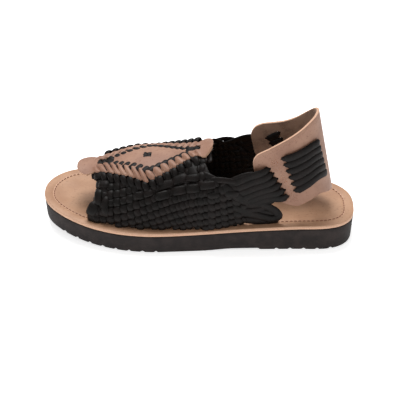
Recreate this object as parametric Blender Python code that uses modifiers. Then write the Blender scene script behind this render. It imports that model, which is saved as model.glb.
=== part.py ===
"""Woven leather sandal for the left foot, heel strap and open toe.

The toe points along -X, the outer (lateral) side of the foot is -Y and +Z is up. The origin is on the
floor, in the middle of the sole's length and width. All sizes are in metres.

The sole and the footbed are lofts of sections along the foot. The woven vamp, the vamp strip and the heel
counter are flat grids that are bent over the last by a function and then given their wall.
"""

import math
from bisect import bisect_right
from collections import namedtuple

import bmesh
import bpy
from mathutils import Vector

# Sole
SOLE_LENGTH = 0.280
BALL_WIDTH = 0.1045
HEEL_WIDTH = 0.0800
FOREFOOT_THICKNESS = 0.0210  # footbed included
HEEL_THICKNESS = 0.0261  # footbed included
TOE_SPRING = 0.0075
TOE_SPRING_LENGTH = 0.090
ARCH_LIFT = 0.0014
TOE_CAP_LENGTH = 0.084
HEEL_CAP_LENGTH = 0.053
TOE_ROUNDNESS = 2.15
HEEL_ROUNDNESS = 2.6
FOOTBED_THICKNESS = 0.0033
DISH_DEPTH = 0.0007
DISH_RIM = 0.80  # shares of the footbed's half width
DISH_FLOOR = 0.40
GROOVE_PITCH = 0.0120
GROOVE_WIDTH = 0.0030
GROOVE_DEPTH = 0.0012
GROOVE_SLOPE = 0.2  # share of the groove's width that each of its sides takes
SIDE_DRAFT = 0.0010
BOTTOM_EDGE = 0.0012

# Upper
INSTEP_HEIGHT = 0.0607  # of the foot's space above the footbed, at the back of the vamp strip
BASE_INSET = 0.0100  # of the wall's inner face from the edge of the footbed
BASE_TRIM = 0.0015  # how far the wall runs on below the footbed before its base is cut level
WALL = 0.0024
STRIP_RELIEF = 0.0011
STRIP_PITCH = 0.0096
WEAVE_SLANT = 0.40
VAMP_STRIP_THICKNESS = 0.0020
VAMP_STRIP_WIDTH = 0.0580  # across the points of the diamond
VAMP_TAB_WIDTH = 0.0270
EYE_LENGTH = 0.0070

# Heel counter and its laces
COUNTER_HEIGHT = 0.0985  # of its peak above the footbed
COUNTER_THICKNESS = 0.0022
COUNTER_CORNER = 0.0080
LACE_COUNT = 6
LACE_WIDTH = 0.0044
LACE_THICKNESS = 0.0016
LACE_GAP = 0.0004  # to the counter's faces
LACE_END_GAP = 0.0008  # to the woven wall's end
LACE_MARGIN = 0.7  # of the pitch, from the outermost laces' middles to the corners of the woven wall
LACE_STEP = 0.0065
LACE_TURN = 0.42  # share of a slit's length that a lace takes to pass through it
LACE_LEAD = 0.0048  # outside the counter, from the woven wall's end to the middle of the first slit
SLIT_LENGTH = 0.0041
SLIT_CLEARANCE = 0.0003
SLIT_WEB = 0.0010  # of leather between two slits

GAP = 0.0003  # between two pieces that touch

SoleRow = namedtuple("SoleRow", "station to_heel centre")
VampRow = namedtuple("VampRow", "station height fullness inset")
StripRow = namedtuple("StripRow", "station to_point")
CounterRow = namedtuple("CounterRow", "column station_low side_low height_low station_top side_top height_top")
ProfilePoint = namedtuple("ProfilePoint", "station height")
SlitRow = namedtuple("SlitRow", "column share lean spread")

# station: share of the length. to_heel: 0 is the width of the ball, 1 that of the heel.
# centre: how far the middle lies towards the inner side, as a share of the ball's width.
SOLE_ROWS = (
    SoleRow(0.00, 0.00, 0.071),
    SoleRow(0.07, 0.00, 0.084),
    SoleRow(0.20, 0.00, 0.058),
    SoleRow(0.29, 0.00, 0.036),
    SoleRow(0.36, 0.06, 0.021),
    SoleRow(0.43, 0.21, 0.020),
    SoleRow(0.53, 0.57, 0.008),
    SoleRow(0.63, 0.82, 0.008),
    SoleRow(0.76, 0.98, 0.015),
    SoleRow(0.85, 1.00, 0.023),
    SoleRow(1.00, 1.00, -0.018),
)

# height: of the ridge above the footbed, share of INSTEP_HEIGHT. fullness: exponent of the section's
# superellipse, higher is boxier. inset: share of BASE_INSET.
VAMP_ROWS = (
    VampRow(0.108, 0.385, 2.1, 1.05),
    VampRow(0.168, 0.445, 2.1, 1.05),
    VampRow(0.248, 0.575, 2.2, 1.10),
    VampRow(0.308, 0.665, 2.3, 1.08),
    VampRow(0.378, 0.710, 2.4, 1.02),
    VampRow(0.438, 0.750, 2.5, 0.92),
    VampRow(0.498, 0.830, 2.7, 0.80),
    VampRow(0.548, 0.915, 2.9, 0.66),
    VampRow(0.648, 1.270, 3.3, 0.96),
    VampRow(0.788, 1.757, 3.6, 1.10),
)

# The woven wall's outline from the side, in two stretches: from the toe's lower corner over the top to the
# laces, and from below the laces to the heel's lower corner. The laces' own ends close it between them.
# height: above the footbed under the heel, share of INSTEP_HEIGHT.
WALL_PROFILE_TOP = (
    ProfilePoint(0.139, -0.250),
    ProfilePoint(0.149, 0.050),
    ProfilePoint(0.160, 0.211),
    ProfilePoint(0.159, 0.401),
    ProfilePoint(0.157, 1.700),
    ProfilePoint(0.557, 1.700),
    ProfilePoint(0.557, 1.041),
    ProfilePoint(0.542, 0.881),
    ProfilePoint(0.528, 0.751),
    ProfilePoint(0.531, 0.681),
    ProfilePoint(0.551, 0.638),
    ProfilePoint(0.579, 0.636),
    ProfilePoint(0.615, 0.664),
    ProfilePoint(0.658, 0.761),
    ProfilePoint(0.686, 0.846),
)
WALL_PROFILE_LOW = (
    ProfilePoint(0.746, 0.301),
    ProfilePoint(0.720, 0.251),
    ProfilePoint(0.740, 0.141),
    ProfilePoint(0.760, 0.011),
    ProfilePoint(0.763, -0.250),
)

WALL_BACK = 0.798  # where the sheet ends before its outline is cut

# to_point: 0 is the width of a tab, 1 that of the diamond.
STRIP_ROWS = (
    StripRow(0.112, 0.00),
    StripRow(0.166, 0.00),
    StripRow(0.350, 1.00),
    StripRow(0.528, 0.02),
    StripRow(0.564, 0.00),
)
STRIP_CAP_LENGTH = 0.011
STRIP_GAP = 0.0006  # to the weave's crossings

# Each row is one line across the counter, from its lower to its upper edge, from the outer side of the
# foot round the back to the inner side. station: share of the sole's length. side: share of half the
# counter's width. height: above the footbed, share of COUNTER_HEIGHT.
COUNTER_ROWS = (
    CounterRow(0, 0.690, -0.95, 0.308, 0.669, -0.93, 0.633),
    CounterRow(1, 0.733, -0.96, 0.227, 0.708, -0.91, 0.689),
    CounterRow(2, 0.776, -0.96, 0.171, 0.744, -0.89, 0.750),
    CounterRow(3, 0.815, -0.93, 0.140, 0.779, -0.82, 0.806),
    CounterRow(4, 0.851, -0.85, 0.181, 0.812, -0.68, 0.861),
    CounterRow(5, 0.883, -0.65, 0.222, 0.838, -0.48, 0.907),
    CounterRow(6, 0.910, -0.33, 0.191, 0.858, -0.24, 0.943),
    CounterRow(7, 0.924, 0.04, 0.171, 0.867, 0.04, 0.963),
    CounterRow(8, 0.913, 0.39, 0.186, 0.858, 0.30, 0.940),
    CounterRow(9, 0.887, 0.70, 0.217, 0.835, 0.54, 0.862),
    CounterRow(10, 0.854, 0.89, 0.181, 0.804, 0.73, 0.773),
    CounterRow(11, 0.815, 0.97, 0.141, 0.770, 0.85, 0.714),
    CounterRow(12, 0.772, 0.99, 0.171, 0.733, 0.91, 0.685),
    CounterRow(13, 0.726, 0.99, 0.232, 0.697, 0.93, 0.664),
    CounterRow(14, 0.683, 0.97, 0.298, 0.660, 0.93, 0.604),
)

# The three lines of slits on the outer side, which the inner side mirrors. column: of COUNTER_ROWS.
# share: of the counter's height there, at the line's middle. lean: of the line's top towards the toe,
# in degrees from the counter's own lines. spread: how far apart its slits lie, 1 as close as they can.
SLIT_ROWS = (
    SlitRow(1.75, 0.38, 13.0, 1.00),
    SlitRow(2.65, 0.50, 2.0, 1.13),
    SlitRow(5.90, 0.48, 3.0, 1.05),
)
COLLECTION = "woven_sandal"


def read(rows, column, at):
    """The value of a column at a place, on a smooth curve through the rows."""
    places = [row[0] for row in rows]
    values = [getattr(row, column) for row in rows]
    at = min(max(at, places[0]), places[-1])
    i = min(bisect_right(places, at), len(rows) - 1) - 1

    def slope(k):
        low, high = max(k - 1, 0), min(k + 1, len(rows) - 1)
        return (values[high] - values[low]) / (places[high] - places[low])

    span = places[i + 1] - places[i]
    t = (at - places[i]) / span
    return (
        (1 + 2 * t) * (1 - t) ** 2 * values[i]
        + t * (1 - t) ** 2 * span * slope(i)
        + t * t * (3 - 2 * t) * values[i + 1]
        - t * t * (1 - t) * span * slope(i + 1)
    )


def ramp(at, start, end):
    """0 before start, 1 after end, and a soft step between."""
    t = min(max((at - start) / (end - start), 0.0), 1.0)
    return t * t * (3 - 2 * t)


def cap(distance, length, roundness=2.0):
    """Share of the full width at a distance from a rounded end."""
    if distance >= length:
        return 1.0
    return (1 - (1 - max(distance, 0.0) / length) ** roundness) ** (1 / roundness)


def end_caps(s):
    """Share of the full width that the sole's rounded toe and heel leave at a distance s behind the toe."""
    return cap(s, TOE_CAP_LENGTH, TOE_ROUNDNESS) * cap(SOLE_LENGTH - s, HEEL_CAP_LENGTH, HEEL_ROUNDNESS)


def sole_half_width(s):
    """Half the width of the sole at a distance s behind the tip of the toe."""
    wide = BALL_WIDTH + (HEEL_WIDTH - BALL_WIDTH) * read(SOLE_ROWS, "to_heel", s / SOLE_LENGTH)
    return wide / 2 * end_caps(s)


def sole_middle(s):
    return BALL_WIDTH * read(SOLE_ROWS, "centre", s / SOLE_LENGTH)


def outline_middle():
    """The middle of the sole's width, which is the origin's place across the foot."""
    steps = [SOLE_LENGTH * i / 280 for i in range(281)]
    outer = min(sole_middle(s) - sole_half_width(s) for s in steps)
    inner = max(sole_middle(s) + sole_half_width(s) for s in steps)
    return (outer + inner) / 2


def toe_lift(s):
    return TOE_SPRING * max(1 - s / TOE_SPRING_LENGTH, 0.0) ** 2


def footbed_top(s):
    share = s / SOLE_LENGTH
    return toe_lift(s) + FOREFOOT_THICKNESS + (HEEL_THICKNESS - FOREFOOT_THICKNESS) * ramp(share, *HEEL_RISE)


HEEL_RISE = (0.40, 0.94)  # shares of the sole's length
HEEL_BREAST = 0.705
ARCH_SPAN = (0.52, 0.62)
GROOVED = ((0.055, 0.40), (0.735, 0.965))
BREAST_SLOPE = 0.002
BLUNT_END = 0.0003  # how far behind its tip the sole's first section is measured
CLOSE_TOE = 0.6  # share of the toe cap's length with close sections


def sole_bottom(s):
    """Underside of the sole without its grooves: flat under ball and heel, lifted under the arch."""
    share = s / SOLE_LENGTH
    breast = HEEL_BREAST * SOLE_LENGTH
    arch = ramp(share, *ARCH_SPAN) * (1 - ramp(s, breast - BREAST_SLOPE, breast))
    return toe_lift(s) + ARCH_LIFT * arch


def groove_edges():
    """Where the tread's grooves start and end, as pairs of distances behind the toe."""
    edges = []
    for start, end in GROOVED:
        count = int((end - start) * SOLE_LENGTH / GROOVE_PITCH)
        for i in range(count):
            middle = start * SOLE_LENGTH + (i + 0.5) * GROOVE_PITCH
            edges.append((middle - GROOVE_WIDTH / 2, middle + GROOVE_WIDTH / 2))
    return edges


def loft_stations():
    """Distances behind the toe for the sole's sections, closer together at its two ends."""
    stations = []
    for i in range(10):
        turn = math.pi / 2 * i / 10
        stations.append(TOE_CAP_LENGTH * CLOSE_TOE * (1 - math.cos(turn)))
        stations.append(SOLE_LENGTH - HEEL_CAP_LENGTH * (1 - math.cos(turn)))
    first, last = TOE_CAP_LENGTH * CLOSE_TOE, SOLE_LENGTH - HEEL_CAP_LENGTH
    stations += [first + (last - first) * i / 16 for i in range(17)]
    return stations


def material(name, colour, roughness):
    made = bpy.data.materials.new(name)
    made.use_nodes = True
    shader = made.node_tree.nodes["Principled BSDF"]
    shader.inputs["Base Color"].default_value = (*colour, 1.0)
    shader.inputs["Roughness"].default_value = roughness
    shader.inputs["Metallic"].default_value = 0.0
    return made


def place(s, y, z):
    """A point given by its distance behind the toe, across the foot and up, in the object's frame."""
    return Vector((s - SOLE_LENGTH / 2, y - MIDDLE, z))


def add_object(name, bm, look, smooth_angle=35):
    """A named object from a bmesh, in the sandal's collection."""
    mesh = bpy.data.meshes.new(name)
    bm.to_mesh(mesh)
    bm.free()
    if look:
        mesh.materials.append(look)
    mesh.shade_smooth()
    mesh.set_sharp_from_angle(angle=math.radians(smooth_angle))
    made = bpy.data.objects.new(name, mesh)
    bpy.data.collections[COLLECTION].objects.link(made)
    return made


def loft(name, rings, look, smooth_angle=35):
    """A closed solid through rings of points, each ring with as many points as the next."""
    bm = bmesh.new()
    rows = [[bm.verts.new(point) for point in ring] for ring in rings]
    count = len(rows[0])
    for row, following in zip(rows, rows[1:]):
        for i in range(count):
            j = (i + 1) % count
            bm.faces.new((row[i], row[j], following[j], following[i]))
    bm.faces.new(reversed(rows[0]))
    bm.faces.new(rows[-1])
    bmesh.ops.recalc_face_normals(bm, faces=bm.faces)
    return add_object(name, bm, look, smooth_angle)


def make_outsole(look):
    """The rubber sole, with its toe spring, arch, heel and the grooves of its tread."""
    grooves = groove_edges()
    step = GROOVE_WIDTH * GROOVE_SLOPE
    deep = {}
    stations = [s for s in loft_stations()
                if not any(low - step < s < high + step for low, high in grooves)]
    for low, high in grooves:
        for s, depth in ((low, 0.0), (low + step, 1.0), (high - step, 1.0), (high, 0.0)):
            deep[s] = depth * GROOVE_DEPTH
            stations.append(s)
    breast = HEEL_BREAST * SOLE_LENGTH
    stations += [breast - BREAST_SLOPE, breast]
    rings = []
    for s in sorted(set(stations)):
        half, middle = max(sole_half_width(s), sole_half_width(BLUNT_END)), sole_middle(s)
        top = footbed_top(s) - FOOTBED_THICKNESS - GAP
        low = sole_bottom(s) + deep.get(s, 0.0)
        edge = min(BOTTOM_EDGE, half / 3)
        foot = half - SIDE_DRAFT
        rings.append([
            place(s, middle - half, top),
            place(s, middle - foot, low + edge),
            place(s, middle - foot + edge, low),
            place(s, middle + foot - edge, low),
            place(s, middle + foot, low + edge),
            place(s, middle + half, top),
        ])
    return loft("outsole", rings, look)


def make_footbed(look):
    """The leather footbed, flush with the sole's edge, with a shallow hollow for the foot."""
    rings = []
    for s in sorted(set(loft_stations())):
        half, middle = max(sole_half_width(s), sole_half_width(BLUNT_END)), sole_middle(s)
        top = footbed_top(s)
        rim, floor = half * DISH_RIM, half * DISH_FLOOR
        hollow = DISH_DEPTH * end_caps(s) ** 2
        rings.append([
            place(s, middle - half, top - FOOTBED_THICKNESS),
            place(s, middle + half, top - FOOTBED_THICKNESS),
            place(s, middle + half, top),
            place(s, middle + rim, top),
            place(s, middle + floor, top - hollow),
            place(s, middle - floor, top - hollow),
            place(s, middle - rim, top),
            place(s, middle - half, top),
        ])
    return loft("footbed", rings, look)


SECTION_STEPS = 48


def vamp_section(s):
    """Points and running lengths of the last's section at s, from the outer base over the ridge to the inner."""
    share = s / SOLE_LENGTH
    half, middle = sole_half_width(s), sole_middle(s)
    inset = BASE_INSET * read(VAMP_ROWS, "inset", share)
    height = INSTEP_HEIGHT * read(VAMP_ROWS, "height", share)
    power = 2 / read(VAMP_ROWS, "fullness", share)
    base = footbed_top(s) - BASE_TRIM
    points, lengths = [], [0.0]
    for i in range(SECTION_STEPS + 1):
        turn = math.pi * i / SECTION_STEPS
        across = -math.copysign(abs(math.cos(turn)) ** power, math.cos(turn))
        up = max(math.sin(turn), 0.0) ** power
        points.append((middle + across * (half - inset), base + up * (height + BASE_TRIM)))
        if i:
            lengths.append(lengths[-1] + math.dist(points[-1], points[-2]))
    return points, lengths


_sections = {}


def on_last(s, girth):
    """The last's surface at s and a distance along the section from its ridge, inner side positive."""
    key = round(s, 6)
    if key not in _sections:
        _sections[key] = vamp_section(s)
    points, lengths = _sections[key]
    ridge = lengths[SECTION_STEPS // 2]
    at = min(max(ridge + girth, 0.0), lengths[-1])
    i = min(bisect_right(lengths, at), SECTION_STEPS) - 1
    t = (at - lengths[i]) / (lengths[i + 1] - lengths[i])
    y = points[i][0] + (points[i + 1][0] - points[i][0]) * t
    z = points[i][1] + (points[i + 1][1] - points[i][1]) * t
    return place(s, y, z)


def half_girths(s):
    """Lengths along the section from its ridge to the outer and to the inner base."""
    _, lengths = vamp_section(s)
    ridge = lengths[SECTION_STEPS // 2]
    return ridge, lengths[-1] - ridge


def off_last(s, girth, out):
    """A point that stands off the last's surface, along its normal."""
    step = SOLE_LENGTH / 140
    along = on_last(s + step, girth) - on_last(s - step, girth)
    outer, inner = half_girths(s)
    low, high = max(girth - step, -outer), min(girth + step, inner)
    around = on_last(s, high) - on_last(s, low)
    return on_last(s, girth) + along.cross(around).normalized() * out


def bend_grid(columns, rows, bend, is_hole=None):
    """A flat grid less the cells that are holes, whose corners are moved to their place by a function."""
    bm = bmesh.new()
    bmesh.ops.create_grid(bm, x_segments=columns, y_segments=rows, size=1.0)

    def grid_place(flat):
        return (flat.x + 1) / 2 * columns, (flat.y + 1) / 2 * rows

    if is_hole:
        cells = {face: tuple(int(part) for part in grid_place(face.calc_center_median())) for face in bm.faces}
        holes = [face for face, cell in cells.items() if is_hole(*cell)]
        bmesh.ops.delete(bm, geom=holes, context="FACES")
    for vert in bm.verts:
        vert.co = bend(*(round(part) for part in grid_place(vert.co)))
    return bm


def add_wall(made, thickness):
    """Gives an open surface its wall, inwards from its outer face."""
    wall = made.modifiers.new("wall", "SOLIDIFY")
    wall.thickness = thickness
    wall.offset = -1.0


def wall_outline(run, share_along):
    """The woven wall's outline from the side, closed by a line across the laces at a place on one run."""
    base = footbed_top(SOLE_LENGTH)
    top, low = (
        [(row.station * SOLE_LENGTH, base + row.height * INSTEP_HEIGHT) for row in rows]
        for rows in (WALL_PROFILE_TOP, WALL_PROFILE_LOW)
    )
    ends = [lace_point(lace, run, share_along, 0.0) for lace in (-LACE_MARGIN, LACE_COUNT - 1 + LACE_MARGIN)]
    return top + [(point.x + SOLE_LENGTH / 2, point.z) for point in ends] + low


def as_cutter(made, home):
    """Moves an object among the cutters, which aren't part of the sandal."""
    bpy.data.collections[COLLECTION].objects.unlink(made)
    bpy.data.collections[home].objects.link(made)
    made.hide_render = True
    made.display_type = "WIRE"
    return made


def make_outline_cutter():
    """A block with the woven wall's outline from the side, which ends at the laces' own ends on each side."""
    last = len(slit_lines()) - 2
    lead = LACE_LEAD + LACE_END_GAP
    outer = wall_outline(0, -lead / middle_run_length(0))
    inner = wall_outline(last, 1 + lead / middle_run_length(last))
    rings = [
        [place(s, across * BALL_WIDTH, z) for s, z in outline]
        for across, outline in ((-1, outer), (-0.1, outer), (0.1, inner), (1, inner))
    ]
    return as_cutter(loft("vamp_outline", rings, None), "cutters")


def make_base_cutter():
    """A block that fills the footbed's place and the gap over it, to level the woven wall's base."""
    rings = []
    for s in sorted(set(loft_stations())):
        top = footbed_top(s) + GAP
        low = top - HEEL_THICKNESS
        rings.append([place(s, across * BALL_WIDTH, z) for across, z in ((-1, low), (1, low), (1, top), (-1, top))])
    return as_cutter(loft("vamp_base", rings, None), "cutters")


def weave_height(i, j):
    """Relief of a plain weave on a grid with two steps to a strip: high on a crossing, low between four."""
    if i % 2 == 0 and j % 2 == 0:
        return 1.0
    return -1.0 if i % 2 and j % 2 else 0.0


def make_woven_vamp(look):
    """The woven wall of the vamp, one sheet from the outer base over the foot to the inner base."""
    front, back = WALL_PROFILE_TOP[0].station * SOLE_LENGTH, WALL_BACK * SOLE_LENGTH
    reach = sum(half_girths((front + back) / 2)) / 2
    start = front - WEAVE_SLANT * reach
    columns = 2 * round((back - start) / STRIP_PITCH)
    rows = 2 * round(2 * reach / STRIP_PITCH)

    def bend(i, j):
        across = 2 * j / rows - 1
        s = start + (back - start) * i / columns + WEAVE_SLANT * abs(across) * reach * (1 - i / columns)
        outer, inner = half_girths(s)
        girth = across * (outer if across < 0 else inner)
        return off_last(s, girth, WALL + STRIP_RELIEF * (1 + weave_height(i, j)))

    made = add_object("woven_vamp", bend_grid(columns, rows, bend), look, 15)
    add_wall(made, WALL)
    for name, operation, cutter in (
        ("base", "DIFFERENCE", make_base_cutter()),
        ("outline", "INTERSECT", make_outline_cutter()),
    ):
        trim = made.modifiers.new(name, "BOOLEAN")
        trim.operation = operation
        trim.object = cutter
    return made


def strip_half(s):
    """Half the width of the vamp strip, from tab to diamond to tab."""
    ends = STRIP_ROWS[0].station * SOLE_LENGTH, STRIP_ROWS[-1].station * SOLE_LENGTH
    shares = [row.station for row in STRIP_ROWS]
    at = min(max(s / SOLE_LENGTH, shares[0]), shares[-1])
    i = min(bisect_right(shares, at), len(shares) - 1) - 1
    t = (at - shares[i]) / (shares[i + 1] - shares[i])
    to_point = STRIP_ROWS[i].to_point + (STRIP_ROWS[i + 1].to_point - STRIP_ROWS[i].to_point) * t
    half = (VAMP_TAB_WIDTH + (VAMP_STRIP_WIDTH - VAMP_TAB_WIDTH) * to_point) / 2
    return half * cap(min(s - ends[0], ends[1] - s), STRIP_CAP_LENGTH)


STRIP_BANDS = (-1.0, -0.76, -0.52, -0.12, 0.12, 0.52, 0.76, 1.0)
STRIP_CAP_STEPS = 4


def strip_stations():
    """Distances behind the toe for the vamp strip's columns, close together at its round ends."""
    first, last = STRIP_ROWS[0].station * SOLE_LENGTH, STRIP_ROWS[-1].station * SOLE_LENGTH
    ends = [STRIP_CAP_LENGTH * (1 - math.cos(math.pi / 2 * (i + 0.3) / STRIP_CAP_STEPS))
            for i in range(STRIP_CAP_STEPS)]
    start, end = first + STRIP_CAP_LENGTH, last - STRIP_CAP_LENGTH
    count = 2 * round((end - start) / EYE_LENGTH)
    middle = [start + (end - start) * i / count for i in range(count + 1)]
    return [first + d for d in ends] + middle + [last - d for d in reversed(ends)]


def make_vamp_strip(look):
    """The leather strip on top of the vamp: a tab at each end, a diamond between, holes for the lacing."""
    stations = strip_stations()
    out = WALL + 2 * STRIP_RELIEF + STRIP_GAP + VAMP_STRIP_THICKNESS
    point = STRIP_ROWS[2].station * SOLE_LENGTH
    lacing = STRIP_ROWS[1].station * SOLE_LENGTH, STRIP_ROWS[3].station * SOLE_LENGTH
    bands = len(STRIP_BANDS) - 1

    def bend(i, j):
        return off_last(stations[i], STRIP_BANDS[j] * strip_half(stations[i]), out)

    def is_hole(i, j):
        low, high = stations[i], stations[i + 1]
        if j in (1, bands - 2):
            return i % 2 == 0 and lacing[0] < low and high < lacing[1]
        return j == bands // 2 and abs((low + high) / 2 - point) < EYE_LENGTH / 2

    made = add_object("vamp_strip", bend_grid(len(stations) - 1, bands, bend, is_hole), look)
    add_wall(made, VAMP_STRIP_THICKNESS)
    return made


COUNTER_LAST = len(COUNTER_ROWS) - 1
COUNTER_FACES = 36  # round the heel, between its two rounded ends
COUNTER_HALF = HEEL_WIDTH / 2 - BASE_INSET * VAMP_ROWS[-1].inset - GAP - COUNTER_THICKNESS / 2
COUNTER_COLUMN = SOLE_LENGTH * (COUNTER_ROWS[2].station_low - COUNTER_ROWS[0].station_low) / 2
COUNTER_ROUNDING = COUNTER_CORNER / COUNTER_COLUMN


def counter_point(column, share):
    """The counter's middle surface, at a column and a share of its height there."""
    low, top = (
        place(
            SOLE_LENGTH * read(COUNTER_ROWS, "station_" + edge, column),
            COUNTER_HALF * read(COUNTER_ROWS, "side_" + edge, column),
            footbed_top(SOLE_LENGTH) + COUNTER_HEIGHT * read(COUNTER_ROWS, "height_" + edge, column),
        )
        for edge in ("low", "top")
    )
    return low + (top - low) * share


def counter_trim(column):
    """The share of the counter's height that its rounded ends take from its lower and its upper edge."""
    corner = 1 - cap(min(column, COUNTER_LAST - column), COUNTER_ROUNDING)
    return corner * COUNTER_CORNER / (counter_point(column, 1.0) - counter_point(column, 0.0)).length


def counter_frame(column, share):
    """The way along the counter for one column, the way up its whole height, and its outward normal."""
    step = 0.05
    low, high = max(column - step, 0.0), min(column + step, COUNTER_LAST)
    along = (counter_point(high, share) - counter_point(low, share)) / (high - low)
    up = counter_point(column, 1.0) - counter_point(column, 0.0)
    return along, up, along.cross(up).normalized()


def slit_lines():
    """The six lines of slits, from the outer side to the inner."""
    inner = [row._replace(column=COUNTER_LAST - row.column, lean=-row.lean) for row in reversed(SLIT_ROWS)]
    return list(SLIT_ROWS) + inner


def slit_pitch(spread):
    """The distance between two slits of a line."""
    return (LACE_WIDTH + 2 * SLIT_CLEARANCE + SLIT_WEB) * spread


def slit_place(lace, line):
    """Column and share of a lace's slit in a line. Between two laces, the place between their slits."""
    row = slit_lines()[line]
    along, up, _ = counter_frame(row.column, row.share)
    down = (lace - (LACE_COUNT - 1) / 2) * slit_pitch(row.spread)
    turn = math.radians(row.lean)
    return row.column + down * math.sin(turn) / along.length, row.share - down * math.cos(turn) / up.length


def run_length(lace, run):
    """The distance between a lace's slits at the two ends of a run."""
    return (counter_point(*slit_place(lace, run + 1)) - counter_point(*slit_place(lace, run))).length


def middle_run_length(run):
    """The length of a run in the middle of the laces, from which all of them take their leads and turns."""
    return run_length((LACE_COUNT - 1) / 2, run)


def lace_point(lace, run, share_along, out):
    """A point on a lace between the lines of slits run and run + 1. Shares under 0 and over 1 lie past them."""
    one, following = slit_place(lace, run), slit_place(lace, run + 1)
    column = one[0] + (following[0] - one[0]) * share_along
    share = one[1] + (following[1] - one[1]) * share_along
    return counter_point(column, share) + counter_frame(column, share)[2] * out


def lace_route():
    """Where a lace runs, as (run, share along it, out): outside, then in and out through the slits."""
    reach = COUNTER_THICKNESS / 2 + LACE_GAP + LACE_THICKNESS / 2
    runs = len(slit_lines()) - 1
    lengths = [middle_run_length(run) for run in range(runs)]
    turn = SLIT_LENGTH * LACE_TURN
    route = [(0, -LACE_LEAD / lengths[0], reach), (0, -turn / lengths[0], reach)]
    for run, length in enumerate(lengths):
        out = reach * (1 if run % 2 else -1)
        steps = max(2, round(length / LACE_STEP))
        start = turn / length
        route.append((run, 0.0, 0.0))
        route += [(run, start + (1 - 2 * start) * i / steps, out) for i in range(steps + 1)]
    last = runs - 1
    route += [(last, 1.0, 0.0), (last, 1 + turn / lengths[-1], reach), (last, 1 + LACE_LEAD / lengths[-1], reach)]
    return route


def make_counter_lace(lace, look):
    """One leather lace, woven through the counter's slits and round behind the heel inside it."""
    lines = slit_lines()
    rings = []
    for run, along, out in lace_route():
        spread = lines[run].spread + (lines[run + 1].spread - lines[run].spread) * along
        share = LACE_WIDTH / slit_pitch(spread) / 2
        rings.append([
            lace_point(lace + side * share, run, along, out + depth * LACE_THICKNESS / 2)
            for side, depth in ((1, -1), (1, 1), (-1, 1), (-1, -1))
        ])
    return loft(f"counter_lace_{lace + 1}", rings, look, 50)


def make_slit_cutter(lace, line):
    """A block that cuts one slit, along the lace that runs through it."""
    last = len(slit_lines()) - 1
    side = (LACE_WIDTH / 2 + SLIT_CLEARANCE) / slit_pitch(slit_lines()[line].spread)
    before, after = max(line - 1, 0), min(line, last - 1)
    half_before = SLIT_LENGTH / 2 / run_length(lace, before)
    half_after = SLIT_LENGTH / 2 / run_length(lace, after)
    places = (
        (before, (1 if line else 0) - half_before),
        (after, 1 if line == last else 0),
        (after, (1 if line == last else 0) + half_after),
    )
    deep = 1.5 * COUNTER_THICKNESS
    rings = [
        [
            lace_point(lace + across * side, run, along, depth * deep)
            for across, depth in ((1, -1), (1, 1), (-1, 1), (-1, -1))
        ]
        for run, along in places
    ]
    return as_cutter(loft(f"slit_{lace + 1}_{line + 1}", rings, None), "slit_cutters")


def counter_columns():
    """The columns of the counter's faces, closer together at its two rounded ends."""
    ends = [COUNTER_ROUNDING * (1 - math.cos(math.pi / 2 * i / 4)) for i in range(4)]
    first, last = COUNTER_ROUNDING, COUNTER_LAST - COUNTER_ROUNDING
    middle = [first + (last - first) * i / COUNTER_FACES for i in range(COUNTER_FACES + 1)]
    return ends + middle + [COUNTER_LAST - column for column in reversed(ends)]


def make_heel_counter(look):
    """The leather strap round the heel, with its slits."""
    columns, rows = counter_columns(), 2

    def bend(i, j):
        column, trim = columns[i], counter_trim(columns[i])
        share = trim + (1 - 2 * trim) * j / rows
        return counter_point(column, share) + counter_frame(column, share)[2] * COUNTER_THICKNESS / 2

    made = add_object("heel_counter", bend_grid(len(columns) - 1, rows, bend), look)
    add_wall(made, COUNTER_THICKNESS)
    for lace in range(LACE_COUNT):
        for line in range(len(slit_lines())):
            make_slit_cutter(lace, line)
    slits = made.modifiers.new("slits", "BOOLEAN")
    slits.operation = "DIFFERENCE"
    slits.operand_type = "COLLECTION"
    slits.collection = bpy.data.collections["slit_cutters"]
    return made


def start_scene():
    """An empty scene with a collection for the sandal and one for its cutters."""
    for old in list(bpy.data.objects):
        bpy.data.objects.remove(old)
    for name, parent in ((COLLECTION, None), ("cutters", None), ("slit_cutters", "cutters")):
        made = bpy.data.collections.new(name)
        home = bpy.data.collections[parent] if parent else bpy.context.scene.collection
        home.children.link(made)


MIDDLE = outline_middle()


def main():
    start_scene()
    rubber = material("black_rubber", (0.035, 0.032, 0.032), 0.75)
    natural = material("natural_leather", (0.56, 0.33, 0.21), 0.55)
    black = material("black_leather", (0.018, 0.016, 0.015), 0.5)
    make_outsole(rubber)
    make_footbed(natural)
    make_woven_vamp(black)
    make_vamp_strip(natural)
    make_heel_counter(natural)
    for lace in range(LACE_COUNT):
        make_counter_lace(lace, black)


main()
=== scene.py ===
# %% [markdown]
# This lesson dresses a woven leather sandal. A shoemaker pulls black leather strips over a wooden last,
# braids them by hand, laces a tan leather strip into the top, and runs six of the strips through slits
# in a heel strap. The sole is dark rubber under a tan leather footbed.
# The solid model is loaded first. It sets every place, so each new piece is bent over the same last.

# %% Load the solid model
import math
import random
from collections import namedtuple

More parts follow.
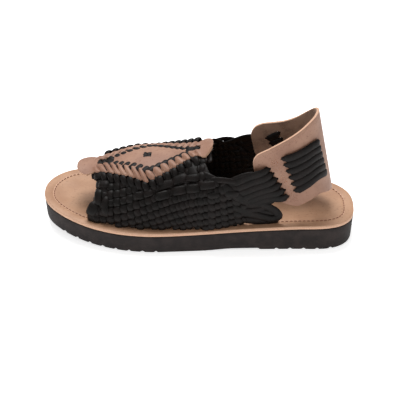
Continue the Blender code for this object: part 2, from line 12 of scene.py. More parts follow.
import bpy
import numpy as np
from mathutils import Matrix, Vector


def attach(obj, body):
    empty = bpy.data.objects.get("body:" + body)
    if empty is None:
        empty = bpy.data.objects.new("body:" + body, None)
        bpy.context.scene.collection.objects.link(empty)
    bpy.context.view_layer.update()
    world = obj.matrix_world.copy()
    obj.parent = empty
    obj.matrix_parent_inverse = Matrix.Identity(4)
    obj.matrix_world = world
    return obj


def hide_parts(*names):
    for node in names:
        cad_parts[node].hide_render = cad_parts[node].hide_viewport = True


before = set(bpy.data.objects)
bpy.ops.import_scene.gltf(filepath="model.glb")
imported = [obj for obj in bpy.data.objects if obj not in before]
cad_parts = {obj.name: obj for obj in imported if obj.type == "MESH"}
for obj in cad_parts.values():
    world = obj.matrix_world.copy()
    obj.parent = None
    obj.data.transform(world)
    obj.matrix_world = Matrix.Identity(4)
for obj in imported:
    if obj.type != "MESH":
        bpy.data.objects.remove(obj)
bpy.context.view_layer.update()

bpy.ops.object.select_all(action="DESELECT")

# %% [markdown]
# The camera stands almost square to the outer side of the shoe, 34 degrees above the floor. Its place
# was found by matching the sole's outline in the photograph, which has very little perspective.

# %% Camera
MM = 0.001
SENSOR_MM = 36.0
FOCAL_PIXELS = 1115.0
PICTURE_PIXELS = 400.0
CAMERA_AZIMUTH = math.radians(3.0)
CAMERA_ELEVATION = math.radians(34.0)
CAMERA_DISTANCE = 1.0
CAMERA_TARGET = Vector((0.0023, -0.01082, 0.030))

backwards = Vector((
    math.sin(CAMERA_AZIMUTH) * math.cos(CAMERA_ELEVATION),
    -math.cos(CAMERA_AZIMUTH) * math.cos(CAMERA_ELEVATION),
    math.sin(CAMERA_ELEVATION),
))
lens = bpy.data.cameras.new("studio_camera")
lens.sensor_width = SENSOR_MM
lens.lens = SENSOR_MM * FOCAL_PIXELS / PICTURE_PIXELS
camera = bpy.data.objects.new("studio_camera", lens)
camera.location = CAMERA_TARGET + backwards * CAMERA_DISTANCE
camera.rotation_euler = (-backwards).to_track_quat("-Z", "Y").to_euler()
bpy.context.scene.collection.objects.link(camera)
bpy.context.scene.camera = camera
print("camera lens", round(lens.lens, 1), "mm")

# %% [markdown]
# The sole's outline comes first, because everything stands on it. A few rows say how its width and its
# middle change from toe to heel, and a smooth curve is read through them.

# %% The sole's outline
SOLE_LENGTH = 0.280
BALL_WIDTH = 0.1045
HEEL_WIDTH = 0.0800
FOREFOOT_THICKNESS = 0.0210
HEEL_THICKNESS = 0.0261
FOOTBED_THICKNESS = 0.0033
TOE_SPRING = 0.0075
TOE_SPRING_LENGTH = 0.090
TOE_CAP_LENGTH = 0.084
HEEL_CAP_LENGTH = 0.053
TOE_ROUNDNESS = 2.15
HEEL_ROUNDNESS = 2.6
HEEL_RISE = (0.40, 0.94)

SoleRow = namedtuple("SoleRow", "station to_heel centre")
SOLE_ROWS = (
    SoleRow(0.00, 0.00, 0.071),
    SoleRow(0.07, 0.00, 0.084),
    SoleRow(0.20, 0.00, 0.058),
    SoleRow(0.29, 0.00, 0.036),
    SoleRow(0.36, 0.06, 0.021),
    SoleRow(0.43, 0.21, 0.020),
    SoleRow(0.53, 0.57, 0.008),
    SoleRow(0.63, 0.82, 0.008),
    SoleRow(0.76, 0.98, 0.015),
    SoleRow(0.85, 1.00, 0.023),
    SoleRow(1.00, 1.00, -0.018),
)


def hermite(t, span, start, end, start_slope, end_slope):
    """A smooth curve between two values with given slopes, at a share t of the span."""
    return (
        (1 + 2 * t) * (1 - t) ** 2 * start
        + t * (1 - t) ** 2 * span * start_slope
        + t * t * (3 - 2 * t) * end
        - t * t * (1 - t) * span * end_slope
    )


def read(rows, name, at):
    """A field's value at a place, on a smooth curve through the rows. The first field is the place."""
    places = [row[0] for row in rows]
    values = [getattr(row, name) for row in rows]
    at = min(max(at, places[0]), places[-1])
    i = min(sum(place <= at for place in places), len(rows) - 1) - 1

    def slope(k):
        low, high = max(k - 1, 0), min(k + 1, len(rows) - 1)
        return (values[high] - values[low]) / (places[high] - places[low])

    span = places[i + 1] - places[i]
    return hermite((at - places[i]) / span, span, values[i], values[i + 1], slope(i), slope(i + 1))


def ramp(at, start, end):
    """0 before start, 1 after end, and a soft step between."""
    t = min(max((at - start) / (end - start), 0.0), 1.0)
    return t * t * (3 - 2 * t)


def cap(distance, length, roundness=2.0):
    """Share of the full width at a distance from a rounded end."""
    if distance >= length:
        return 1.0
    return (1 - (1 - max(distance, 0.0) / length) ** roundness) ** (1 / roundness)


print("the sole has", len(SOLE_ROWS), "rows of sizes")

# %% [markdown]
# With these curves, the sole's half width, its middle and its heights can be asked for at any distance
# behind the toe. Every later piece asks the same functions, so all of them fit together.

# %% Widths and heights of the sole
def end_caps(s):
    """Share of the full width that the rounded toe and heel leave."""
    return cap(s, TOE_CAP_LENGTH, TOE_ROUNDNESS) * cap(SOLE_LENGTH - s, HEEL_CAP_LENGTH, HEEL_ROUNDNESS)


def sole_half_width(s):
    wide = BALL_WIDTH + (HEEL_WIDTH - BALL_WIDTH) * read(SOLE_ROWS, "to_heel", s / SOLE_LENGTH)
    return wide / 2 * end_caps(s)


def sole_middle(s):
    return BALL_WIDTH * read(SOLE_ROWS, "centre", s / SOLE_LENGTH)


def toe_lift(s):
    return TOE_SPRING * max(1 - s / TOE_SPRING_LENGTH, 0.0) ** 2


def footbed_top(s):
    rise = ramp(s / SOLE_LENGTH, *HEEL_RISE)
    return toe_lift(s) + FOREFOOT_THICKNESS + (HEEL_THICKNESS - FOREFOOT_THICKNESS) * rise


outline_steps = [SOLE_LENGTH * i / 280 for i in range(281)]
OUTLINE_MIDDLE = (
    min(sole_middle(s) - sole_half_width(s) for s in outline_steps)
    + max(sole_middle(s) + sole_half_width(s) for s in outline_steps)
) / 2
print("footbed stands", round(footbed_top(SOLE_LENGTH) * 1000, 1), "mm over the floor at the heel")

# %% [markdown]
# The last is a stack of sections, each a superellipse that stands on the footbed. A place on it is its
# distance behind the toe and its girth, the length along the section from the ridge. On the two sides it
# is handier to count the distance up from the base, so that is what the tables of the weave hold.

# %% The last
INSTEP_HEIGHT = 0.0607
BASE_INSET = 0.0100
BASE_TRIM = 0.0015
SECTION_STEPS = 48
SURFACE_STEP = SOLE_LENGTH / 140

VampRow = namedtuple("VampRow", "station height fullness inset")
VAMP_ROWS = (
    VampRow(0.108, 0.385, 2.1, 1.05),
    VampRow(0.168, 0.445, 2.1, 1.05),
    VampRow(0.248, 0.575, 2.2, 1.10),
    VampRow(0.308, 0.665, 2.3, 1.08),
    VampRow(0.378, 0.710, 2.4, 1.02),
    VampRow(0.438, 0.750, 2.5, 0.92),
    VampRow(0.498, 0.830, 2.7, 0.80),
    VampRow(0.548, 0.915, 2.9, 0.66),
    VampRow(0.648, 1.270, 3.3, 0.96),
    VampRow(0.788, 1.757, 3.6, 1.10),
)
section_turns = np.pi * np.arange(SECTION_STEPS + 1) / SECTION_STEPS
last_sections = {}


def last_section(s):
    """Points across and up, and running lengths, of the last's section at a distance behind the toe."""
    key = round(s, 5)
    if key not in last_sections:
        share = s / SOLE_LENGTH
        reach = sole_half_width(s) - BASE_INSET * read(VAMP_ROWS, "inset", share)
        height = INSTEP_HEIGHT * read(VAMP_ROWS, "height", share) + BASE_TRIM
        power = 2 / read(VAMP_ROWS, "fullness", share)
        cosine = np.cos(section_turns)
        across = sole_middle(s) - np.sign(cosine) * np.abs(cosine) ** power * reach
        up = footbed_top(s) - BASE_TRIM + np.clip(np.sin(section_turns), 0, None) ** power * height
        lengths = np.concatenate([[0.0], np.cumsum(np.hypot(np.diff(across), np.diff(up)))])
        last_sections[key] = across, up, lengths
    return last_sections[key]


def half_girths(s):
    """Lengths along the section from its ridge to the outer and to the inner base."""
    lengths = last_section(s)[2]
    ridge = lengths[SECTION_STEPS // 2]
    return ridge, lengths[-1] - ridge


def on_last(s, girth):
    across, up, lengths = last_section(s)
    at = min(max(lengths[SECTION_STEPS // 2] + girth, 0.0), lengths[-1])
    return np.array((
        s - SOLE_LENGTH / 2,
        np.interp(at, lengths, across) - OUTLINE_MIDDLE,
        np.interp(at, lengths, up),
    ))


def last_frame(s, girth):
    """A place on the last, and its normal."""
    along = on_last(s + SURFACE_STEP, girth) - on_last(s - SURFACE_STEP, girth)
    outer, inner = half_girths(s)
    low, high = max(girth - SURFACE_STEP, -outer), min(girth + SURFACE_STEP, inner)
    normal = np.cross(along, on_last(s, high) - on_last(s, low))
    return on_last(s, girth), normal / np.linalg.norm(normal)


def side_girth(side, s, up):
    """The girth of a place on one side, -1 outer or 1 inner, a distance up from the base."""
    outer, inner = half_girths(s)
    return (outer - up if side < 0 else inner - up) * side


print("girth of the last at the ball", round(sum(half_girths(0.098)) * 1000), "mm")

# %% [markdown]
# Nearly every piece here is a sheet or a strip. Both start as a flat grid primitive whose corners are put
# in their place by an array of points. A strip is a grid rolled into a flat tube: its cross-section is a
# soft box, its ends close to a point, and the seam is merged so that it is one closed body.
# These first helpers select, shape, close and join such grids.

# %% Helpers for sheets
MERGE_DISTANCE = 0.00001
SMALLEST_LENGTH = 1e-12


def select_only(*pieces):
    bpy.ops.object.select_all(action="DESELECT")
    for piece in pieces:
        piece.select_set(True)
    bpy.context.view_layer.objects.active = pieces[0]


def grid_sheet(name, points):
    """A grid primitive whose corners take their places from an array of columns by rows by 3."""
    columns, rows = points.shape[0] - 1, points.shape[1] - 1
    bpy.ops.mesh.primitive_grid_add(x_subdivisions=columns, y_subdivisions=rows, size=2.0)
    made = bpy.context.object
    made.name = made.data.name = name
    flat = np.empty(len(made.data.vertices) * 3)
    made.data.vertices.foreach_get("co", flat)
    flat = flat.reshape(-1, 3)
    i = np.rint((flat[:, 0] + 1) / 2 * columns).astype(int)
    j = np.rint((flat[:, 1] + 1) / 2 * rows).astype(int)
    made.data.vertices.foreach_set("co", points[i, j].ravel())
    made.data.update()
    return made


def scale_uv(made, across_u, across_v):
    """Gives the piece's UV map real lengths, in metres."""
    layer = made.data.uv_layers.active.uv
    flat = np.empty(len(layer) * 2)
    layer.foreach_get("vector", flat)
    flat = flat.reshape(-1, 2) * (across_u, across_v)
    layer.foreach_set("vector", flat.ravel())


def close_up(made):
    """Merges the seams and the ends, and turns all faces outwards."""
    select_only(made)
    bpy.ops.object.mode_set(mode="EDIT")
    bpy.ops.mesh.select_all(action="SELECT")
    bpy.ops.mesh.remove_doubles(threshold=MERGE_DISTANCE)
    bpy.ops.mesh.normals_make_consistent(inside=False)
    bpy.ops.object.mode_set(mode="OBJECT")
    return made


def join_as(name, pieces, smooth=True):
    select_only(*pieces)
    bpy.ops.object.join()
    made = bpy.context.object
    made.name = made.data.name = name
    close_up(made)
    if smooth:
        bpy.ops.object.shade_smooth()
    return made


def unit(vectors):
    return vectors / np.maximum(np.linalg.norm(vectors, axis=-1, keepdims=True), SMALLEST_LENGTH)


print("points closer than", MERGE_DISTANCE * 1000, "mm are merged")

# %% [markdown]
# A strip follows a route, a line of points with a normal at each. A curve with a bevel could make it too,
# but a bevel's width and thickness can't change apart from each other along the way, and a strip of the
# weave is wide and thick where it is over, and narrow and thin where it is under. Routes are written as
# rows of places on the last, so each strip bends with it.

# %% Helpers for strips and routes
STRIP_SIDES = 12
STRIP_SQUARENESS = 2.2
END_SHARES = (0.0, 0.05, 0.16, 0.34, 0.58, 0.82)
DEPTH_WEIGHT = 0.5
RIDGE = 0


def rolled_strip(points, normals, half_width, half_thickness, end=None):
    """A flat tube along a route. Widths and thicknesses are one number or one for each point."""
    points = np.asarray(points, float)
    normals = np.asarray(normals, float)
    steps = np.concatenate([[0.0], np.cumsum(np.linalg.norm(np.diff(points, axis=0), axis=1))])
    total = steps[-1]
    half_width = np.broadcast_to(half_width, steps.shape)
    half_thickness = np.broadcast_to(half_thickness, steps.shape)
    end = end or 1.5 * float(half_thickness.max())
    near = [share * end for share in END_SHARES]
    inside = [at for at in steps if end < at < total - end]
    stations = np.array(near + inside + [total - at for at in reversed(near)])
    place = np.stack([np.interp(stations, steps, points[:, k]) for k in range(3)], axis=1)
    normal = unit(np.stack([np.interp(stations, steps, normals[:, k]) for k in range(3)], axis=1))
    wide = np.interp(stations, steps, half_width)
    thick = np.interp(stations, steps, half_thickness)
    tangent = unit(np.gradient(place, stations, axis=0))
    across = unit(np.cross(normal, tangent))
    normal = unit(np.cross(tangent, across))
    edge = np.clip(np.minimum(stations, total - stations) / end, 0, 1)
    closing = np.sqrt(np.clip(1 - (1 - edge) ** 2, 0, 1))
    turns = 2 * np.pi * np.arange(STRIP_SIDES + 1) / STRIP_SIDES
    power = 2 / STRIP_SQUARENESS
    sideways = np.sign(np.cos(turns)) * np.abs(np.cos(turns)) ** power
    upwards = np.sign(np.sin(turns)) * np.abs(np.sin(turns)) ** power
    sideways[-1], upwards[-1] = sideways[0], upwards[0]
    rings = (
        place[:, None, :]
        + across[:, None, :] * (wide * closing)[:, None, None] * sideways[None, :, None]
        + normal[:, None, :] * (thick * closing)[:, None, None] * upwards[None, :, None]
    )
    made = grid_sheet("strip", rings)
    scale_uv(made, total, 4 * float(half_width.max()))
    return made


def smooth_route(rows, count):
    """Evenly numbered points on a smooth curve through rows of numbers."""
    rows = np.asarray(rows, float)
    spans = np.linalg.norm(np.diff(rows[:, :2], axis=0), axis=1) + DEPTH_WEIGHT * np.abs(np.diff(rows[:, -1]))
    at = np.concatenate([[0.0], np.cumsum(spans)])
    slopes = np.gradient(rows, at, axis=0)
    wanted = np.linspace(0, at[-1], count)
    i = np.clip(np.searchsorted(at, wanted, side="right") - 1, 0, len(at) - 2)
    span = (at[i + 1] - at[i])[:, None]
    t = (wanted - at[i])[:, None] / span
    return hermite(t, span, rows[i], rows[i + 1], slopes[i], slopes[i + 1])


def route_on_last(side, table):
    """Points and normals for rows of (behind the toe, place, off the last), in millimetres.

    On side -1 or 1 the place is counted up from the base, and for RIDGE it is the girth from the ridge.
    """
    points, normals = [], []
    for s, place, out in table:
        girth = place * MM if side == RIDGE else side_girth(side, s * MM, place * MM)
        point, normal = last_frame(s * MM, girth)
        points.append(point + normal * out * MM)
        normals.append(normal)
    return points, normals


print("a strip has", STRIP_SIDES, "sides")

# %% [markdown]
# The footbed and the sole share one outline. Walking once round it, each point is pushed inwards by the
# rows of a profile: up the side, over a soft edge, in to the stitch line and on to the spine of the foot.
# A loft of cross-sections would leave the toe's and the heel's edges sharp, and this way rounds them too.

# %% Rings round the sole
OUTLINE_POINTS = 720
SPINE_START, SPINE_END = 0.030, 0.252


def outline_loop():
    """Distances behind the toe, and points with inward normals, once round the outline."""
    turns = 2 * np.pi * np.arange(OUTLINE_POINTS) / OUTLINE_POINTS
    stations = SOLE_LENGTH * (1 - np.cos(turns)) / 2
    side = np.where(np.sin(turns) > 0, -1.0, 1.0)
    across = np.array([sole_middle(s) + k * sole_half_width(s) for s, k in zip(stations, side)])
    points = np.stack([stations - SOLE_LENGTH / 2, across - OUTLINE_MIDDLE], axis=1)
    tangent = unit(np.roll(points, -1, axis=0) - np.roll(points, 1, axis=0))
    return stations, points, np.stack([-tangent[:, 1], tangent[:, 0]], axis=1)


loop_stations, loop_points, loop_inwards = outline_loop()
spine_stations = np.clip(loop_stations, SPINE_START, SPINE_END)
loop_spine = np.stack([
    spine_stations - SOLE_LENGTH / 2,
    [sole_middle(s) - OUTLINE_MIDDLE for s in spine_stations],
], axis=1)


def inset_ring(inset):
    """The outline moved inwards by a distance, as points on the floor."""
    return loop_points + loop_inwards * inset


def ringed_piece(name, rings):
    """A closed body of rings of 3-D points, each as long as the outline, closed round and at both ends."""
    points = np.stack([np.concatenate([ring, ring[:1]]) for ring in rings], axis=1)
    made = grid_sheet(name, points)
    close_up(made)
    bpy.ops.object.shade_smooth()
    return made


def lifted(flat, heights):
    return np.concatenate([flat, np.asarray(heights).reshape(-1, 1)], axis=1)


loop_top = np.array([footbed_top(s) for s in loop_stations])
print("outline of", OUTLINE_POINTS, "points")

# %% [markdown]
# The rubber sole is cut from a moulded sheet with shallow ripples on its walking side, which show as small
# notches along the side's lower edge. It is lifted a little under the arch, and its heel starts at a step.
# It could be extruded and carved with a cutter for each ripple. As rings, ripples and soft edges come from
# the same points as the outline, so nothing has to be cut.

# %% Rubber sole
ARCH_LIFT = 0.0014
ARCH_SPAN = (0.52, 0.62)
HEEL_BREAST = 0.705
BREAST_SLOPE = 0.002
GROOVE_PITCH = 0.0120
GROOVE_WIDTH = 0.0030
GROOVE_DEPTH = 0.0012
GROOVE_FLOOR, GROOVE_MOUTH = 0.25, 0.60
GROOVED = ((0.055, 0.40), (0.735, 0.965))
SIDE_DRAFT = 0.0010
SOLE_EDGE = 0.0012
SOLE_TOP_EDGE = 0.0003
SEAM = 0.0003
TREAD_MARGIN = 0.004
SOLE_TOP_MARGIN = 0.006
TREAD_SHARES = (0.3, 0.6)
EDGE_ANGLES = (30, 60, 90)
SIDE_SHARES = (0.2, 0.4, 0.6, 0.8, 0.96, 1.0)


def groove(s):
    """Depth of the tread's grooves at a distance behind the toe."""
    for start, end in GROOVED:
        first = start * SOLE_LENGTH
        count = int((end - start) * SOLE_LENGTH / GROOVE_PITCH)
        if first < s < first + count * GROOVE_PITCH:
            from_middle = abs((s - first) % GROOVE_PITCH - GROOVE_PITCH / 2)
            floor, mouth = GROOVE_WIDTH * GROOVE_FLOOR, GROOVE_WIDTH * GROOVE_MOUTH
            return GROOVE_DEPTH * (1 - ramp(from_middle, floor, mouth))
    return 0.0


def sole_bottom(s):
    breast = HEEL_BREAST * SOLE_LENGTH
    arch = ramp(s / SOLE_LENGTH, *ARCH_SPAN) * (1 - ramp(s, breast - BREAST_SLOPE, breast))
    return toe_lift(s) + ARCH_LIFT * arch + groove(s)


def make_sole():
    loop_low = np.array([sole_bottom(s) for s in loop_stations])
    top = loop_top - FOOTBED_THICKNESS - SEAM
    rings = [lifted(loop_spine, [sole_bottom(s) for s in spine_stations])]
    for share in TREAD_SHARES:
        flat = loop_spine + (inset_ring(TREAD_MARGIN) - loop_spine) * share
        rings.append(lifted(flat, [sole_bottom(x + SOLE_LENGTH / 2) for x in flat[:, 0]]))
    rings.append(lifted(inset_ring(TREAD_MARGIN), loop_low))
    rings.append(lifted(inset_ring(SIDE_DRAFT + SOLE_EDGE), loop_low))
    for turn in EDGE_ANGLES:
        angle = math.radians(turn)
        inset = SIDE_DRAFT + SOLE_EDGE * (1 - math.sin(angle))
        rings.append(lifted(inset_ring(inset), loop_low + SOLE_EDGE * (1 - math.cos(angle))))
    for share in SIDE_SHARES:
        inset = SIDE_DRAFT * (1 - share) + (SOLE_TOP_EDGE if share == 1.0 else 0.0)
        heights = loop_low + SOLE_EDGE + (top - loop_low - SOLE_EDGE) * share
        rings.append(lifted(inset_ring(inset), heights))
    rings.append(lifted(inset_ring(SOLE_TOP_MARGIN), top))
    rings.append(lifted(loop_spine, [footbed_top(s) - FOOTBED_THICKNESS - SEAM for s in spine_stations]))
    return ringed_piece("rubber_sole", rings)


rubber_sole = make_sole()
print("sole has", len(rubber_sole.data.polygons), "faces")

# %% [markdown]
# The footbed is one piece of thick tan leather, cut flush with the sole and sewn to it. Its cut edge is
# paler than its grain side. The foot's place is pressed a little, deepest under the heel and the toes.
# The presses are worked out as heights of the rings, so that the stitch groove and the edge stay whole
# where a sculpting brush would blur them.

# %% Footbed
STITCH_INSET = 0.0086
STITCH_GROOVE_HALF = 0.0011
STITCH_GROOVE_DEPTH = 0.00035
EDGE_ROUNDING = 0.0009
FOOT_DIP = 0.0009
FOOT_DIP_SLOPE = 0.010
FOOTBED_BOTTOM_EDGE = 0.0004
FOOTBED_BULGE = 0.0001
FOOTBED_BOTTOM_MARGIN = 0.005
FOOTBED_MARGIN = 0.0040
INNER_SHARES = (0.08, 0.17, 0.27, 0.38, 0.5, 0.62, 0.74, 0.87, 1.0)
PRESS_FLOOR, PRESS_RIM = 0.55, 1.25
NARROWEST = 0.001
Press = namedtuple("Press", "behind_toe across length width depth")
PRESSES = (
    Press(0.225, -0.003, 0.017, 0.012, 0.0014),
    Press(0.020, 0.004, 0.011, 0.015, 0.0006),
)


def footbed_height(x, y):
    """Height of the footbed's top at a place in the sandal's frame."""
    s = min(max(x + SOLE_LENGTH / 2, 0.0), SOLE_LENGTH)
    half = max(sole_half_width(s), NARROWEST)
    from_edge = half - abs(y + OUTLINE_MIDDLE - sole_middle(s))
    inside = ramp(from_edge, STITCH_INSET, STITCH_INSET + FOOT_DIP_SLOPE)
    height = footbed_top(s) - FOOT_DIP * inside * end_caps(s)
    for press in PRESSES:
        away = math.hypot((s - press.behind_toe) / press.length, (y - press.across) / press.width)
        height -= press.depth * (1 - ramp(away, PRESS_FLOOR, PRESS_RIM))
    return height


def footbed_ring(flat, dip=0.0):
    return lifted(flat, [footbed_height(x, y) - dip for x, y in flat])


def make_footbed():
    bottom = loop_top - FOOTBED_THICKNESS
    rings = [
        lifted(loop_spine, [footbed_top(s) - FOOTBED_THICKNESS for s in spine_stations]),
        lifted(inset_ring(FOOTBED_BOTTOM_MARGIN), bottom),
        lifted(inset_ring(FOOTBED_BOTTOM_EDGE), bottom),
        lifted(inset_ring(0.0), bottom + FOOTBED_BOTTOM_EDGE),
        lifted(inset_ring(-FOOTBED_BULGE), (bottom + loop_top) / 2),
    ]
    for turn in (0, *EDGE_ANGLES):
        angle = math.radians(turn)
        inset = EDGE_ROUNDING * (1 - math.cos(angle))
        rings.append(lifted(inset_ring(inset), loop_top - EDGE_ROUNDING * (1 - math.sin(angle))))
    inner = inset_ring(STITCH_INSET + STITCH_GROOVE_HALF)
    rings += [
        footbed_ring(inset_ring(FOOTBED_MARGIN)),
        footbed_ring(inset_ring(STITCH_INSET - STITCH_GROOVE_HALF)),
        footbed_ring(inset_ring(STITCH_INSET), STITCH_GROOVE_DEPTH),
        footbed_ring(inner),
    ]
    rings += [footbed_ring(inner + (loop_spine - inner) * share) for share in INNER_SHARES]
    return ringed_piece("leather_footbed", rings)


leather_footbed = make_footbed()
print("footbed has", len(leather_footbed.data.polygons), "faces")

# %% [markdown]
# The stitches that hold the footbed are thick waxed thread. One stitch is a small rolled strip that dips
# into the leather at both ends, and it is repeated at an even pitch where the weave doesn't cover it.
# They could be painted on, but real thread catches the light and stays true from close by.

# %% Stitches
STITCH_PITCH = 0.0038
STITCH_LENGTH = 0.0026
STITCH_RADIUS = 0.00030
STITCH_POINTS = 5
STITCH_HUMP, STITCH_SINK, STITCH_FLATNESS = 1.5, 0.9, 1.2
STITCHED_TOE = 0.046
STITCHED_HEEL = 0.206


def make_stitches():
    ring = inset_ring(STITCH_INSET)
    closed = np.concatenate([ring, ring[:1]])
    lengths = np.concatenate([[0.0], np.cumsum(np.linalg.norm(np.diff(closed, axis=0), axis=1))])
    shares = np.linspace(0, STITCH_LENGTH, STITCH_POINTS)
    rise = STITCH_RADIUS * (STITCH_HUMP * np.sin(np.pi * shares / STITCH_LENGTH) - STITCH_SINK)
    upright = [(0, 0, 1)] * STITCH_POINTS
    pieces = []
    for at in np.arange(0, lengths[-1], STITCH_PITCH):
        flat = np.stack([np.interp(at + shares, lengths, closed[:, k]) for k in range(2)], axis=1)
        if STITCHED_TOE < flat[STITCH_POINTS // 2, 0] + SOLE_LENGTH / 2 < STITCHED_HEEL:
            continue
        points = [(x, y, footbed_height(x, y) + up) for (x, y), up in zip(flat, rise)]
        pieces.append(rolled_strip(points, upright, STITCH_RADIUS * STITCH_FLATNESS, STITCH_RADIUS))
    return join_as("footbed_stitches", pieces)


footbed_stitches = make_stitches()
print("stitches have", len(footbed_stitches.data.polygons), "faces")

# %% [markdown]
# The weave's two families of strips cross over and under each other. Rows run back from the toe and climb
# towards the ankle, crossings hang nearly upright at the toe and lean more and more towards the heel.
# The tables hold how rows rise and crossings lean, where the weave ends in front, behind and on top, and
# how wide the tan strip is. All lengths of the weave are in millimetres.

# %% Tables of the weave
ROW_PITCH = 6.7
CROSSING_PITCH = 6.6
WEAVE_MIDDLE = 2.6
WEAVE_SWING = 1.35
HALF_STRIP = 3.25
HALF_LEATHER = 1.30
WEAVE_LOWEST = 1.3
UNDER_STRIP = 4.0

RiseRow = namedtuple("RiseRow", "behind_toe rise lean")
RISE_ROWS = (
    RiseRow(40, -1.0, 0.00),
    RiseRow(60, 1.5, 0.00),
    RiseRow(75, 6.5, 0.05),
    RiseRow(90, 13.0, 0.15),
    RiseRow(105, 19.5, 0.30),
    RiseRow(120, 25.0, 0.50),
    RiseRow(135, 29.5, 0.75),
    RiseRow(150, 33.0, 1.00),
    RiseRow(165, 35.8, 1.10),
    RiseRow(215, 41.0, 1.20),
)
EdgeRow = namedtuple("EdgeRow", "up front back")
WEAVE_ENDS = (
    EdgeRow(0, 48.0, 186.0),
    EdgeRow(6, 47.5, 186.0),
    EdgeRow(12, 50.0, 182.0),
    EdgeRow(20, 53.5, 186.0),
    EdgeRow(30, 55.0, 184.0),
    EdgeRow(40, 53.0, 176.0),
    EdgeRow(46, 51.0, 168.0),
    EdgeRow(75, 50.0, 150.0),
)
CollarRow = namedtuple("CollarRow", "behind_toe up")
COLLAR_ROWS = (
    CollarRow(148, 50.0),
    CollarRow(158, 46.0),
    CollarRow(172, 44.5),
    CollarRow(215, 44.5),
)
StripRow = namedtuple("StripRow", "behind_toe edge slits")
STRIP_ROWS = (
    StripRow(31.4, 12.5, 5.0),
    StripRow(43.0, 13.2, 5.0),
    StripRow(50.0, 11.0, 3.0),
    StripRow(60.0, 13.5, 2.0),
    StripRow(98.0, 28.5, 18.0),
    StripRow(132.0, 13.5, 2.5),
    StripRow(142.0, 10.5, 3.0),
    StripRow(150.0, 14.2, 5.0),
    StripRow(157.9, 13.0, 5.0),
)


def between(rows, name, at):
    """A field's value at a place, on straight lines between the rows. The first field is the place."""
    return float(np.interp(at, [row[0] for row in rows], [getattr(row, name) for row in rows]))


print("the tan strip is", 2 * max(row.edge for row in STRIP_ROWS), "mm wide at its diamond")

# %% [markdown]
# Each family is a set of level curves on the side of the last, and the other family's count says where a
# strip is over and where it is under, so both stay in step wherever they bend. Strips drawn one by one
# would lose that rhythm, and a woven pattern on one sheet would have no real gaps or thickness.

# %% Where the strips run
ROUTE_STEP = 1.1
SEARCH_STEP = 1.0
ROW_NUMBERS = range(-7, 9)
CROSSING_NUMBERS = range(6, 44)
ROW_STATIONS = np.arange(40, 200, ROUTE_STEP)
CROSSING_STATIONS = np.arange(20, 260, SEARCH_STEP)
CROSSING_UPS = np.arange(0, 76, ROUTE_STEP)
SHORTEST_RUN = 5
WAVE_POWER = 0.6
WIDTH_SWING = 0.05
LEATHER_SWING = 0.12
WIDTH_CHANCE = (0.94, 1.04)
WEAVE_SEED = 11


def weave_top(side, s):
    """How far up a side the weave goes: to just under the tan strip, or to the collar."""
    if s > COLLAR_ROWS[0].behind_toe:
        return between(COLLAR_ROWS, "up", s)
    outer, inner = half_girths(s * MM)
    return (outer if side < 0 else inner) / MM - between(STRIP_ROWS, "edge", s) + UNDER_STRIP


def inside_weave(side, s, up):
    front, back = between(WEAVE_ENDS, "front", up), between(WEAVE_ENDS, "back", up)
    return front <= s <= back and WEAVE_LOWEST <= up <= weave_top(side, s)


def crossing_count(s, up):
    return (s + between(RISE_ROWS, "lean", s) * up) / CROSSING_PITCH


def row_count(s, up):
    return (up - between(RISE_ROWS, "rise", s)) / ROW_PITCH


def kept_runs(side, places):
    """Splits a line of places into the runs that lie inside the weave."""
    runs, run = [], []
    for place in places:
        if inside_weave(side, *place):
            run.append(place)
        elif run:
            runs.append(run)
            run = []
    runs.append(run)
    return [run for run in runs if len(run) >= SHORTEST_RUN]


print("a strip has at least", SHORTEST_RUN, "places inside the weave")

# %% [markdown]
# Now the strips are braided. Where a strip is over, it lies farther off the last and is a little wider and
# thicker, and where it is under it is pinched. Each strip differs a little in width, as cut by hand.

# %% Braid the two families
def woven_strip(side, run, heights, chance):
    """One strip of the weave, puffed where it is over and pinched where it is under."""
    table = [(s, up, WEAVE_MIDDLE + WEAVE_SWING * h) for (s, up), h in zip(run, heights)]
    points, normals = route_on_last(side, table)
    over = np.asarray(heights)
    width = HALF_STRIP * (1 + WIDTH_SWING * over) * chance.uniform(*WIDTH_CHANCE)
    return rolled_strip(points, normals, width * MM, HALF_LEATHER * (1 + LEATHER_SWING * over) * MM)


def over_under(turn):
    """A wave with flat tops, so that a strip lies flat on each crossing."""
    wave = math.cos(math.pi * turn)
    return math.copysign(abs(wave) ** WAVE_POWER, wave)


def make_rows(side, chance):
    pieces = []
    for k in ROW_NUMBERS:
        line = [(s, between(RISE_ROWS, "rise", s) + ROW_PITCH * (k + 0.5)) for s in ROW_STATIONS]
        for run in kept_runs(side, line):
            heights = [over_under(crossing_count(s, up) + k) for s, up in run]
            pieces.append(woven_strip(side, run, heights, chance))
    return pieces


def make_crossings(side, chance):
    pieces = []
    counts = [[crossing_count(s, up) for s in CROSSING_STATIONS] for up in CROSSING_UPS]
    for j in CROSSING_NUMBERS:
        line = [(float(np.interp(j, row, CROSSING_STATIONS)), up) for row, up in zip(counts, CROSSING_UPS)]
        for run in kept_runs(side, line):
            heights = [-over_under(row_count(s, up) - 0.5 + j) for s, up in run]
            pieces.append(woven_strip(side, run, heights, chance))
    return pieces


weave_pieces = []
for side, side_name in ((-1, "outer"), (1, "inner")):
    weave_chance = random.Random(WEAVE_SEED + side)
    weave_pieces.append(join_as(f"weave_rows_{side_name}", make_rows(side, weave_chance)))
    weave_pieces.append(join_as(f"weave_crossings_{side_name}", make_crossings(side, weave_chance)))
print("weave faces", [len(piece.data.polygons) for piece in weave_pieces])
